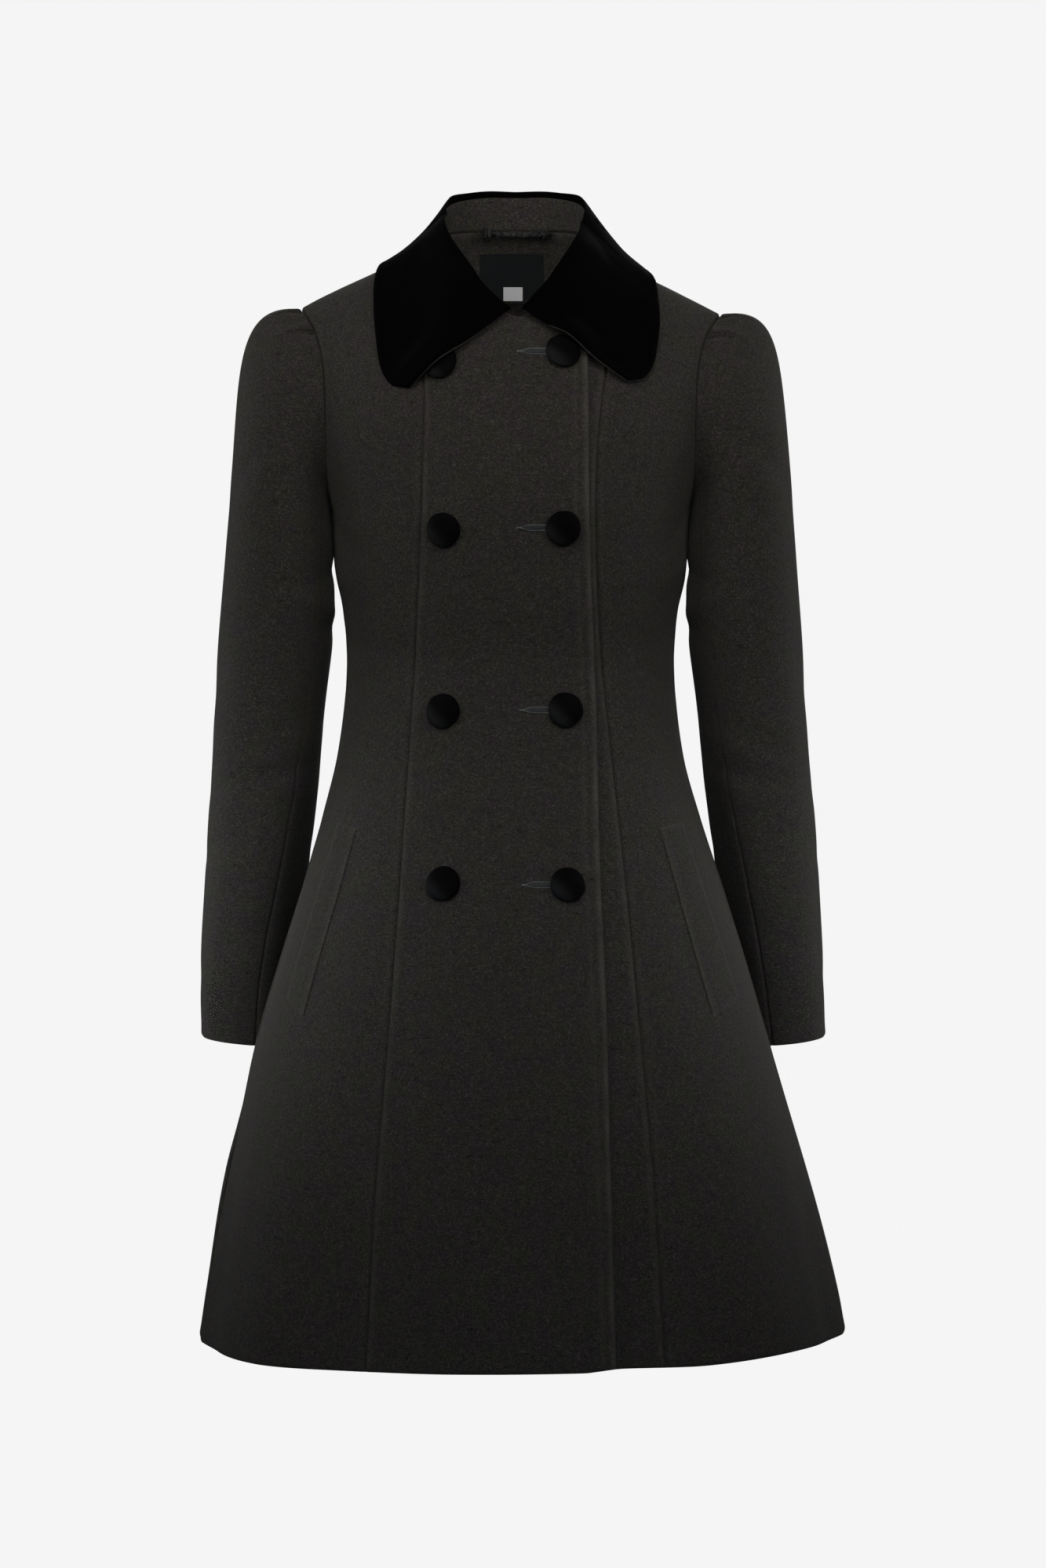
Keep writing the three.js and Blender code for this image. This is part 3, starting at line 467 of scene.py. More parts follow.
# Light: name, place and target in metres, width, spread in degrees, watts, colour
WARM_WHITE, COOL_WHITE = (1, 0.975, 0.935), (0.95, 0.98, 1)
LIGHTS = (
    ("key_light", (-1.0, -1.05, 0.35), (-0.05, 0, -0.2), 0.6, 100, 1.9, WARM_WHITE),
    ("fill_light", (1.0, -1.05, 0.35), (0.05, 0, -0.2), 0.6, 100, 1.87, WARM_WHITE),
    ("front_light", (0, -1.35, 0.25), (0, 0, -0.25), 0.7, 90, 1.4, WARM_WHITE),
    ("high_light", (0, -1.0, 0.95), (0, 0, -0.1), 0.7, 100, 2.1, WARM_WHITE),
    ("low_light", (0, -1.4, -1.1), (0, 0, -0.82), 0.8, 70, 0.32, (0.5, 0.76, 1)),
    ("right_light", (-1.7, -0.5, -0.4), (-0.2, 0, -0.4), 0.8, 180, 1.2, COOL_WHITE),
    ("left_light", (1.7, -0.5, -0.4), (0.2, 0, -0.4), 0.8, 180, 0.4, COOL_WHITE),
    ("right_sleeve_light", (-1.2, -1.1, -0.45), (-0.24, 0.05, -0.56), 0.25, 22, 0.32, COOL_WHITE),
    ("left_sleeve_light", (1.2, -1.1, -0.45), (0.24, 0.05, -0.56), 0.25, 22, 0.26, COOL_WHITE),
    ("right_rim_light", (-1.5, 0.45, 0.05), (-0.2, 0, -0.2), 0.9, 60, 1.5, COOL_WHITE),
    ("left_rim_light", (1.5, 0.45, 0.05), (0.2, 0, -0.2), 0.9, 60, 1.5, COOL_WHITE),
    ("back_light", (0.3, 2.4, 0.7), (0, 0, -0.3), 1.6, 180, 26, (1, 1, 1)),
)
GROUND = (0.913, 0.913, 0.913, 1)
AMBIENT = (0.075, 0.075, 0.08, 1)
FLOOR_GLOW = (0.04, 0.04, 0.042, 1)
FLOOR_Z = -1.62


def look_at(obj, target):
    direction = Vector(target) - obj.location
    obj.rotation_euler = direction.to_track_quat("-Z", "Y").to_euler()


def place_lights():
    for name, place, target, width, spread, watts, colour in LIGHTS:
        data = bpy.data.lights.new(name, "AREA")
        data.shape = "DISK"
        data.size = width
        data.spread = spread * DEG
        data.energy = watts
        data.color = colour
        lamp = bpy.data.objects.new(name, data)
        lamp.location = place
        bpy.context.collection.objects.link(lamp)
        look_at(lamp, target)


def pale_for_camera(tree, shader, color_name, strength_name, thrown):
    """The ground looks evenly pale, and throws only a little light on the coat."""
    ray = tree.nodes.new("ShaderNodeLightPath")
    mix = tree.nodes.new("ShaderNodeMix")
    mix.data_type = "RGBA"
    mix.inputs[6].default_value = thrown
    mix.inputs[7].default_value = GROUND
    tree.links.new(ray.outputs["Is Camera Ray"], mix.inputs[0])
    tree.links.new(mix.outputs[2], shader.inputs[color_name])
    shader.inputs[strength_name].default_value = 1.0


def place_floor():
    world = bpy.data.worlds.new("studio")
    bpy.context.scene.world = world
    world.use_nodes = True
    pale_for_camera(world.node_tree, world.node_tree.nodes["Background"], "Color", "Strength", AMBIENT)
    mesh = bpy.data.meshes.new("floor")
    reach = 14
    corners = [(-reach, -reach, 0), (reach, -reach, 0), (reach, reach, 0), (-reach, reach, 0)]
    mesh.from_pydata(corners, [], [(0, 1, 2, 3)])
    floor = bpy.data.objects.new("floor", mesh)
    floor.location = (0, 0, FLOOR_Z)
    bpy.context.collection.objects.link(floor)
    material = bpy.data.materials.new("pale floor")
    material.use_nodes = True
    shader = material.node_tree.nodes["Principled BSDF"]
    shader.inputs["Base Color"].default_value = (0, 0, 0, 1)
    shader.inputs["Specular IOR Level"].default_value = 0
    pale_for_camera(material.node_tree, shader, "Emission Color", "Emission Strength", FLOOR_GLOW)
    mesh.materials.append(material)


place_lights()
place_floor()


# Materials
def new_group(name, inputs, outputs):
    """A shader node group with named inputs (name, kind, value) and outputs (name, kind)."""
    group = bpy.data.node_groups.new(name, "ShaderNodeTree")
    for label, kind, value in inputs:
        socket = group.interface.new_socket(name=label, in_out="INPUT", socket_type=kind)
        if value is not None:
            socket.default_value = value
    for label, kind in outputs:
        group.interface.new_socket(name=label, in_out="OUTPUT", socket_type=kind)
    nodes = group.nodes
    return group, nodes.new("NodeGroupInput"), nodes.new("NodeGroupOutput")


class Wiring:
    """Short calls for placing and joining nodes."""

    def __init__(self, tree):
        self.nodes, self.links = tree.nodes, tree.links

    def node(self, kind, settings=(), **inputs):
        node = self.nodes.new(kind)
        for name, value in dict(settings).items():
            setattr(node, name, value)
        for name, value in inputs.items():
            self.feed(node, name.replace("_", " "), value)
        return node

    def feed(self, node, name, value):
        socket = node.inputs[int(name)] if name.isdigit() else node.inputs[name]
        if isinstance(value, bpy.types.NodeSocket):
            self.links.new(value, socket)
        else:
            socket.default_value = value

    def math(self, operation, a, b=0.0):
        node = self.nodes.new("ShaderNodeMath")
        node.operation = operation
        self.feed(node, "0", a)
        self.feed(node, "1", b)
        return node.outputs[0]

    def scaled(self, vector, scale):
        node = self.nodes.new("ShaderNodeVectorMath")
        node.operation = "MULTIPLY"
        self.feed(node, "0", vector)
        self.feed(node, "1", scale)
        return node.outputs[0]

    def noise(self, vector, scale, detail=2.0, roughness=0.5):
        node = self.node("ShaderNodeTexNoise", Vector=vector, Scale=scale, Detail=detail, Roughness=roughness)
        return node.outputs["Fac"]

    def mapped(self, value, low, high, to_low=0.0, to_high=1.0):
        node = self.nodes.new("ShaderNodeMapRange")
        for name, number in (("Value", value), ("From Min", low), ("From Max", high),
                             ("To Min", to_low), ("To Max", to_high)):
            self.feed(node, name, number)
        return node.outputs["Result"]

    def mix(self, share, a, b, blend="MIX"):
        node = self.nodes.new("ShaderNodeMix")
        node.data_type = "RGBA"
        node.blend_type = blend
        self.feed(node, "0", share)
        self.feed(node, "6", a)
        self.feed(node, "7", b)
        return node.outputs[2]


COLOR, VALUE, VECTOR = "NodeSocketColor", "NodeSocketFloat", "NodeSocketVector"


def melange_group():
    """Fibres of several shades felted together, with slow drifts of tone."""
    group, enter, leave = new_group(
        "melange fibres",
        [("Vector", VECTOR, None), ("Base", COLOR, (0.03, 0.03, 0.03, 1)),
         ("Light Fibre", COLOR, (0.1, 0.1, 0.1, 1)), ("Dark Fibre", COLOR, (0.01, 0.01, 0.01, 1)),
         ("Warm", COLOR, (0.05, 0.04, 0.03, 1)), ("Cool", COLOR, (0.04, 0.03, 0.05, 1)),
         ("Fibre Scale", VALUE, 620.0), ("Mottle", VALUE, 0.5),
         ("Wear", VALUE, 0.0)],
        [("Color", COLOR), ("Height", VALUE)],
    )
    w = Wiring(group)
    vector, scale = enter.outputs["Vector"], enter.outputs["Fibre Scale"]
    level = w.noise(w.scaled(vector, (0.4, 0.7, 1.0)), scale, 3, 0.6)
    upright = w.noise(w.scaled(vector, (1.0, 1.0, 0.5)), scale, 3, 0.6)
    fuzz = w.noise(vector, w.math("MULTIPLY", scale, 0.55), 4, 0.7)
    streak = w.noise(w.scaled(vector, (0.3, 0.6, 1.0)), w.math("MULTIPLY", scale, 0.4), 3, 0.65)
    light = w.math("MAXIMUM", w.mapped(upright, 0.53, 0.74), w.mapped(level, 0.53, 0.74))
    dark = w.math("MAXIMUM", w.mapped(fuzz, 0.47, 0.28), w.mapped(streak, 0.44, 0.26))
    tone = w.mapped(w.noise(vector, w.math("MULTIPLY", scale, 0.07), 6, 0.85), 0.4, 0.6)
    drift = w.mix(tone, enter.outputs["Warm"], enter.outputs["Cool"])
    base = w.mix(enter.outputs["Mottle"], enter.outputs["Base"], drift)
    shaded = w.mix(w.math("MULTIPLY", dark, 0.95), base, enter.outputs["Dark Fibre"])
    flecked = w.mix(w.math("MULTIPLY", light, 0.95), shaded, enter.outputs["Light Fibre"])
    # Lighter fibres where the mesh attribute says: painted highlight on the ridges of edges and seams, with
    # pressed wear
    lightened = w.mix(w.math("MULTIPLY", enter.outputs["Wear"], w.mapped(fuzz, 0.3, 0.6, 0.25, 1.0)), flecked,
                 enter.outputs["Light Fibre"])
    w.links.new(lightened, leave.inputs["Color"])
    height = w.math("ADD", w.math("MULTIPLY", fuzz, 0.6), w.math("MULTIPLY", level, 0.5))
    w.links.new(height, leave.inputs["Height"])
    return group


def pile_group():
    """Short pile that lies this way and that: a slow change of shade and a fine grain, and a painted sheen
    where the mesh attribute asks for it.
    """
    group, enter, leave = new_group(
        "velvet pile",
        [("Vector", VECTOR, None), ("Deep", COLOR, (0.002, 0.002, 0.003, 1)),
         ("Brushed", COLOR, (0.01, 0.01, 0.014, 1)), ("Sweep Scale", VALUE, 14.0),
         ("Wear", VALUE, 0.0), ("Worn", COLOR, (0.0105, 0.0112, 0.0118, 1))],
        [("Color", COLOR), ("Height", VALUE)],
    )
    w = Wiring(group)
    vector = enter.outputs["Vector"]
    sweep = w.mapped(w.noise(vector, enter.outputs["Sweep Scale"], 2, 0.5), 0.42, 0.66)
    grain = w.noise(vector, 1500.0, 2, 0.6)
    shade = w.mix(w.math("MULTIPLY", sweep, grain), enter.outputs["Deep"], enter.outputs["Brushed"])
    # Painted sheen where the mesh attribute says: the buttons' lower left
    lightened = w.math("MULTIPLY", enter.outputs["Wear"], w.mapped(grain, 0.3, 0.7, 0.4, 1.0))
    w.links.new(w.mix(lightened, shade, enter.outputs["Worn"]), leave.inputs["Color"])
    w.links.new(w.math("ADD", grain, w.math("MULTIPLY", sweep, 0.5)), leave.inputs["Height"])
    return group


def weave_group():
    """A fine woven ribbon: crossing threads."""
    group, enter, leave = new_group(
        "ribbon weave",
        [("Vector", VECTOR, None), ("Thread", COLOR, (0.1, 0.1, 0.1, 1)),
         ("Gap", COLOR, (0.02, 0.02, 0.02, 1)), ("Threads", VALUE, 2600.0)],
        [("Color", COLOR), ("Height", VALUE)],
    )
    w = Wiring(group)
    split = w.node("ShaderNodeSeparateXYZ", Vector=enter.outputs["Vector"])
    across = w.math("SINE", w.math("MULTIPLY", split.outputs["X"], enter.outputs["Threads"]))
    along = w.math("SINE", w.math("MULTIPLY", split.outputs["Z"], enter.outputs["Threads"]))
    woven = w.mapped(w.math("MAXIMUM", across, along), -0.4, 1.0)
    w.links.new(w.mix(woven, enter.outputs["Gap"], enter.outputs["Thread"]), leave.inputs["Color"])
    w.links.new(woven, leave.inputs["Height"])
    return group


MELANGE, PILE, WEAVE = melange_group(), pile_group(), weave_group()


# The mesh attribute that says where the colour is lighter: painted highlight on the ridges of edges and
# seams, with pressed wear, and painted sheen on the buttons
WEAR_AND_HIGHLIGHT = "pressed_wear"


def cloth_material(name, group, values, roughness, bump_distance, sheen=0.0, sheen_roughness=0.5,
                   sheen_tint=(1, 1, 1, 1), specular=0.3):
    """A material with a group's colour and relief over one shader."""
    material = bpy.data.materials.new(name)
    material.use_nodes = True
    w = Wiring(material.node_tree)
    shader = w.nodes["Principled BSDF"]
    place = w.nodes.new("ShaderNodeTexCoord")
    effect = w.nodes.new("ShaderNodeGroup")
    effect.node_tree = group
    w.links.new(place.outputs["Object"], effect.inputs["Vector"])
    for label, value in values.items():
        effect.inputs[label].default_value = value
    # Lighter colour from the mesh attribute: painted highlight and sheen, with pressed wear on the wool
    if "Wear" in effect.inputs:
        wear_and_highlight = w.node("ShaderNodeAttribute", {"attribute_name": WEAR_AND_HIGHLIGHT})
        w.links.new(wear_and_highlight.outputs["Fac"], effect.inputs["Wear"])
    w.links.new(effect.outputs["Color"], shader.inputs["Base Color"])
    relief = w.node("ShaderNodeBump", Strength=1.0, Distance=bump_distance)
    w.links.new(effect.outputs["Height"], relief.inputs["Height"])
    w.links.new(relief.outputs["Normal"], shader.inputs["Normal"])
    shader.inputs["Roughness"].default_value = roughness
    shader.inputs["Specular IOR Level"].default_value = specular
    shader.inputs["Sheen Weight"].default_value = sheen
    shader.inputs["Sheen Roughness"].default_value = sheen_roughness
    shader.inputs["Sheen Tint"].default_value = sheen_tint
    return material


def wool_material(name, level=1.0):
    """The coat's wool, lighter with a higher level; a level above 1 paints light into shaded places."""

    def tone(red, green, blue):
        return (red * level, green * level, blue * level, 1)

    return cloth_material(
        name, MELANGE,
        {
            "Base": tone(0.0133, 0.0125, 0.0106), "Light Fibre": tone(0.046, 0.043, 0.037),
            "Dark Fibre": tone(0.0036, 0.0033, 0.0027), "Warm": tone(0.0142, 0.0152, 0.0092),
            "Cool": tone(0.0155, 0.0112, 0.0155), "Fibre Scale": 980.0, "Mottle": 0.85,
        },
        roughness=0.95, bump_distance=0.0004, sheen=0.05, sheen_roughness=0.6,
        sheen_tint=(0.75, 0.74, 0.7, 1), specular=0.08,
    )


WOOL_CLOTH = wool_material("charcoal melange wool")
# Lighter copies of the same wool for the collar stand and the back neck facing: painted light in the shaded
# inside of the neck
WOOL_INSIDE_PAINTED_LIGHTER = wool_material("charcoal melange wool inside", 1.3)
WOOL_FACING_PAINTED_LIGHTER = wool_material("charcoal melange wool facing", 2.1)
VELVET_CLOTH = cloth_material(
    "black velvet", PILE,
    {"Deep": (0.0003, 0.0003, 0.0004, 1), "Brushed": (0.0009, 0.0009, 0.0013, 1), "Sweep Scale": 13.0},
    roughness=0.9, bump_distance=0.0002, sheen=0.013, sheen_roughness=0.35,
    sheen_tint=(0.35, 0.36, 0.45, 1), specular=0.02,
)
BUTTON_VELVET = cloth_material(
    "black velvet on buttons", PILE,
    {"Deep": (0.0003, 0.0003, 0.0005, 1), "Brushed": (0.0014, 0.0014, 0.0022, 1), "Sweep Scale": 60.0},
    roughness=0.85, bump_distance=0.00015, sheen=0.035, sheen_roughness=0.25,
    sheen_tint=(0.4, 0.42, 0.55, 1), specular=0.04,
)
LABEL_CLOTH = cloth_material(
    "plain black label", WEAVE,
    {"Thread": (0.0105, 0.0135, 0.0155, 1), "Gap": (0.003, 0.0036, 0.0044, 1), "Threads": 9000.0},
    roughness=0.7, bump_distance=0.00008,
)
TAB_CLOTH = cloth_material(
    "plain white tab", WEAVE,
    {"Thread": (0.92, 0.92, 0.95, 1), "Gap": (0.8, 0.8, 0.84, 1), "Threads": 9000.0},
    roughness=0.7, bump_distance=0.00008,
)
CORD_CLOTH = cloth_material(
    "black twisted cord", PILE,
    {"Deep": (0.008, 0.0095, 0.009, 1), "Brushed": (0.055, 0.06, 0.058, 1), "Sweep Scale": 300.0},
    roughness=0.75, bump_distance=0.0001, specular=0.12,
)
THREAD_CLOTH = cloth_material(
    "grey buttonhole thread", PILE,
    {"Deep": (0.05, 0.055, 0.055, 1), "Brushed": (0.13, 0.14, 0.14, 1), "Sweep Scale": 400.0},
    roughness=0.6, bump_distance=0.00008, specular=0.3,
)


# Meshes
SHARP_ANGLE = 60


def add_mesh(name, points, faces, material):
    name = name + "_piece"
    mesh = bpy.data.meshes.new(name)
    mesh.from_pydata((np.asarray(points) * MM).tolist(), [], faces)
    mesh.materials.append(material)
    mesh.polygons.foreach_set("use_smooth", np.ones(len(mesh.polygons), bool))
    mesh.set_sharp_from_angle(angle=SHARP_ANGLE * DEG)
    mesh.update()
    obj = bpy.data.objects.new(name, mesh)
    bpy.context.collection.objects.link(obj)
    return obj


def wall_faces(rows, columns):
    """Faces of a closed wall between two grids: outer points first, then inner ones."""
    index = np.arange(rows * columns).reshape(rows, columns)
    inner = index + rows * columns
    faces = []

    def strip(a, b, c, d):
        faces.extend(np.stack([a.ravel(), b.ravel(), c.ravel(), d.ravel()], -1).tolist())

    strip(index[:-1, :-1], index[:-1, 1:], index[1:, 1:], index[1:, :-1])
    strip(inner[:-1, :-1], inner[1:, :-1], inner[1:, 1:], inner[:-1, 1:])
    strip(index[:-1, 0], index[1:, 0], inner[1:, 0], inner[:-1, 0])
    strip(index[:-1, -1], inner[:-1, -1], inner[1:, -1], index[1:, -1])
    strip(index[0, :-1], inner[0, :-1], inner[0, 1:], index[0, 1:])
    strip(index[-1, :-1], index[-1, 1:], inner[-1, 1:], inner[-1, :-1])
    return faces


def faces_look_in(points, faces):
    """Whether a closed wall's faces look into it, from the sign of the volume that they hold."""
    corners = np.asarray(faces)
    total = 0
    for triangle in (corners[:, [0, 1, 2]], corners[:, [0, 2, 3]]):
        a, b, c = (points[triangle[:, i]] for i in range(3))
        total += (a * np.cross(b, c)).sum()
    return total < 0


def mark_wear_and_highlight(obj, lightened):
    """Keeps on the mesh how much lighter the colour is, 0 to 1 for each point: painted highlight on the
    ridges of edges and seams with pressed wear, and painted sheen on the buttons.
    """
    layer = obj.data.attributes.new(WEAR_AND_HIGHLIGHT, "FLOAT", "POINT")
    layer.data.foreach_set("value", np.clip(lightened, 0, 1).astype(np.float32))


def add_wall(name, outer, inner, material, wear_and_highlight=None):
    """A wall of cloth between the grids of its outer and its inner points."""
    rows, columns = outer.shape[:2]
    points = np.concatenate([outer.reshape(-1, 3), inner.reshape(-1, 3)])
    faces = wall_faces(rows, columns)
    if faces_look_in(points, faces):
        faces = [face[::-1] for face in faces]
    obj = add_mesh(name, points, faces, material)
    if wear_and_highlight is not None:
        outside = np.broadcast_to(wear_and_highlight, (rows, columns)).ravel()
        mark_wear_and_highlight(obj, np.concatenate([outside, np.zeros(rows * columns)]))
    return obj


def settle(obj, node):
    """Rides on the body and takes its node's place."""
    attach(obj, "root")
    if node:
        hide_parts(node)


def soft_noise(x, y, size, seed):
    """A slow, uneven wave over a surface, about from -1 to 1."""
    rng = np.random.default_rng(seed)
    total = 0
    for _ in range(7):
        turn, phase = rng.uniform(0, 2 * np.pi, 2)
        length = size * rng.uniform(0.7, 1.8)
        total = total + np.sin((x * np.cos(turn) + y * np.sin(turn)) * 2 * np.pi / length + phase)
    return total / 3.2


# Panels of the body
SEAM_GROOVE, SEAM_GROOVE_WIDTH = 1.6, 1.25
SEAM_RIDGE, SEAM_RIDGE_AT, SEAM_RIDGE_WIDTH = 0.5, 3.4, 2.2
EDGE_STEPS = np.array([0, 0.7, 1.4, 2.2, 3.2, 4.6, 6.2, 8.2, 11])
HEM_STEPS = np.array([0, 0.9, 1.9, 3.2, 5, 7.5])

# Soft ridges beside an edge: height, or lighter colour (painted highlight on the ridges, with pressed wear),
# distance from the edge, width
FREE_EDGE = ((-1.5, 0, 0.8), (0.9, 3.4, 2.6), (-0.45, 8.5, 1.4))
FREE_WEAR_AND_HIGHLIGHT = ((0.7, 2.6, 2.2), (0.25, 11.5, 1.8))
SEWN_GROOVE = ((-SEAM_GROOVE, 0, SEAM_GROOVE_WIDTH),)
SEWN_RIDGE = ((1, SEAM_RIDGE_AT, SEAM_RIDGE_WIDTH),)
HEM_FOLD, TOP_FOLD, HEM_THINS = ((-1.2, 0, 1.4), (0.25, 5, 4)), ((-1.2, 0, 1.4),), ((0.9, 0, 1.4),)
HEM_WEAR_AND_HIGHLIGHT, CUFF_WEAR_AND_HIGHLIGHT = ((0.35, 1.5, 1.5),), ((0.3, 1.5, 1.5),)

# How much of a sewn seam's groove, ridge and lighter colour each kind of seam shows; the lighter colour is a
# painted highlight on the ridge, with pressed wear
SEAM_KINDS = {"soft": (0.4, 0, 0.05), "sewn": (1, 0.4, 0.1), "pressed": (1, 1, 0.32)}


def edge_shape(distance, kind, along):
    """Height and lighter colour of the cloth beside an edge, which is free or one of the seam kinds: the
    lighter colour is a painted highlight on the ridges, with pressed wear.
    """
    pucker = 1 + 0.35 * np.sin(along / 9.0 + 2 * np.sin(along / 31.0))
    if kind == "free":
        return ridges(distance, FREE_EDGE), pucker * ridges(distance, FREE_WEAR_AND_HIGHLIGHT)
    groove, ridge = ridges(distance, SEWN_GROOVE), pucker * ridges(distance, SEWN_RIDGE)
    groove_share, ridge_share, wear_and_highlight = SEAM_KINDS[kind]
    return groove_share * groove + ridge_share * SEAM_RIDGE * ridge, wear_and_highlight * ridge


def spaced(width, inner_count):
    """Places across a row, 0 to 1, close together beside both edges."""
    edge = EDGE_STEPS / width[:, None]
    start = edge[:, -1:]
    middle = lerp(start, 1 - start, np.linspace(0, 1, inner_count)[None, 1:-1])
    return np.concatenate([edge, middle, 1 - edge[:, ::-1]], axis=1)


# How far the hem rises above its lowest level, around the coat in degrees
HEM_RISE = table(
    "turn", "turn rise",
    (-180, 0), (-150, 2), (-90, 7.5), (-69, 4.4), (-46, 0), (10, 0),
    (17, 3), (32, 3.4), (53, 9.9), (80, 12.8), (125, 8), (180, 0),
)
HEM_RISE_HEIGHT = 140


def raised_hem(angle, z):
    rise_mm = HEM_RISE("rise", half_turn(angle / DEG))
    return z + rise_mm * (1 - smooth((z - HEM_Z) / HEM_RISE_HEIGHT))


def panel_rows(skirt=120, top=46):
    """A panel's rows, close together at the hem and at the top."""
    low = np.concatenate([HEM_STEPS / 45, np.linspace(0.25, SKIRT_ROWS, skirt)])
    high = np.linspace(SKIRT_ROWS, ROWS, top + 1)[1:]
    return np.concatenate([low, high[:-1], [ROWS - 0.02, ROWS]])


def panel_points(first, second, top, inner_count):
    """A panel's surface: points, normals, angles, levels, and distances from its edges."""
    rows = panel_rows()
    (angle_a, z_a), (angle_b, z_b) = first(rows), second(rows)
    (end_angle_a, end_z_a), (end_angle_b, end_z_b) = first(ROWS), second(ROWS)

    def place(u):
        pull = (np.clip((rows - SKIRT_ROWS) / TOP_ROWS, 0, 1) ** 2)[:, None]
        end_angle, end_z = top(u)
        angle = lerp(angle_a[:, None], angle_b[:, None], u)
        z = lerp(z_a[:, None], z_b[:, None], u)
        angle = angle + pull * (end_angle - lerp(end_angle_a, end_angle_b, u))
        z = z + pull * (end_z - lerp(end_z_a, end_z_b, u))
        return angle, raised_hem(angle, z)

    plain = np.repeat(np.linspace(0, 1, 25)[None, :], len(rows), axis=0)
    width = lengths(body_surface(*place(plain)), 1)
    u = spaced(width, inner_count)
    angle, z = place(u)
    points = body_surface(angle, z)
    normals = body_normal(points)
    across, up = distances(points, 1), distances(points, 0)
    return {
        "points": points, "normals": normals, "angle": angle, "z": z, "from_first": across,
        "from_second": across[:, -1:] - across, "from_hem": up, "from_top": up[-1:] - up,
    }


# Soft creases of the body: angle, level, how far they run along and across, lean in degrees, height
BODY_CREASES = (
    (63, -232, 46, 7, 28, -1.6), (-64, -238, 52, 7, -30, -1.7), (70, -262, 40, 7, 20, 1.2),
    (-72, -268, 42, 8, -22, 1.2), (56, -318, 50, 9, 8, -1.3), (-58, -326, 46, 9, -6, -1.4),
    (60, -352, 44, 9, -10, -1.2), (-55, -350, 50, 9, 12, -1.0), (30, -342, 38, 9, 4, -0.8),
    (-34, -336, 40, 9, -5, -0.8), (120, -300, 56, 10, 10, -1.6), (-122, -306, 54, 10, -12, -1.6),
    (140, -338, 60, 10, -6, -1.5), (-138, -344, 58, 10, 8, -1.5), (115, -250, 44, 8, 30, -1.6),
    (-116, -246, 46, 8, -30, -1.6), (176, -330, 60, 11, 3, -1.2), (150, -150, 60, 14, 40, -1.4),
    (-151, -156, 60, 14, -42, -1.4),
)
CREASE_BEND = 0.002

# Unevenness of the hanging cloth: its height at the top and at the hem, its length, how it stretches down
UNEVEN_TOP, UNEVEN_HEM, UNEVEN_LENGTH, UNEVEN_STRETCH = 0.55, 1.3, 105, 0.45


def crease_heights(creases, angle, z, radius, bend=0.0):
    """Height of soft creases, each along its own slanted line on the cloth."""
    height = np.zeros(z.shape)
    for middle, level, long, wide, lean, rise_mm in creases:
        x = half_turn(angle / DEG - middle) * DEG * radius
        y = z - level
        along = x * math.cos(lean * DEG) + y * math.sin(lean * DEG)
        off = -x * math.sin(lean * DEG) + y * math.cos(lean * DEG)
        height += rise_mm * bump(along, long) * bump(off - bend * along**2, wide)
    return height


def cloth_relief(angle, z):
    """Small unevenness of the hanging cloth, creases and skirt folds."""
    half = BODY("half", z)
    creases = crease_heights(BODY_CREASES, angle, z, half, CREASE_BEND)
    uneven = lerp(UNEVEN_TOP, UNEVEN_HEM, smooth((-420 - z) / 400))
    noise = soft_noise(angle * half, z * UNEVEN_STRETCH, UNEVEN_LENGTH, 3)
    return skirt_fold(angle, z) + creases + uneven * noise


# The lapping front is fully lifted a little before it reaches the edge under it
LIFTED_X = UNDERLAP_X - 5


def overlap_lift(x, z):
    """How far the lapping front stands off the body, towards its free edge."""
    seam = SEAMS("right_princess", z)
    return OVERLAP_LIFT * smooth((x - seam) / (LIFTED_X - seam))


def draw_in(points):
    """Draws a panel's outermost points in by a small part of the seam gap."""
    gap, drawn = SEAM_GAP / 8, points.copy()
    drawn[:, 0] += gap * unit(points[:, 1] - points[:, 0])
    drawn[:, -1] += gap * unit(points[:, -2] - points[:, -1])
    drawn[0] += gap * unit(points[1] - points[0])
    drawn[-1] += gap * unit(points[-2] - points[-1])
    return drawn


def add_panel(name, first, second, top, inner_count, edges=("sewn", "sewn"), lift=None):
    panel = panel_points(first, second, top, inner_count)
    points, normals = draw_in(panel["points"]), panel["normals"]
    height = cloth_relief(panel["angle"], panel["z"])
    if lift is not None:
        height = height + lift(panel["points"][..., 0], panel["z"])
    body = points + normals * height[..., None]
    hem = panel["from_hem"]
    first_edge, first_wear_and_highlight = edge_shape(panel["from_first"], edges[0], hem)
    second_edge, second_wear_and_highlight = edge_shape(panel["from_second"], edges[1], hem)
    detail = first_edge + second_edge + ridges(hem, HEM_FOLD) + ridges(panel["from_top"], TOP_FOLD)
    outer = body + normals * detail[..., None]
    inner = body - normals * (WOOL - ridges(hem, HEM_THINS))[..., None]
    # Lighter colour beside edges, seams and the hem: painted highlight on their ridges, with pressed wear
    wear_and_highlight = first_wear_and_highlight + second_wear_and_highlight + ridges(hem, HEM_WEAR_AND_HIGHLIGHT)
    obj = add_wall(name, outer, inner, WOOL_CLOTH, wear_and_highlight)
    settle(obj, name)
    return panel


PRINCESS_TOP = float(shoulder_height(SHOULDER_PRINCESS_X))
RIGHT_PRINCESS = front_seam("right_princess", PRINCESS_TOP)
LEFT_PRINCESS = front_seam("left_princess", PRINCESS_TOP)

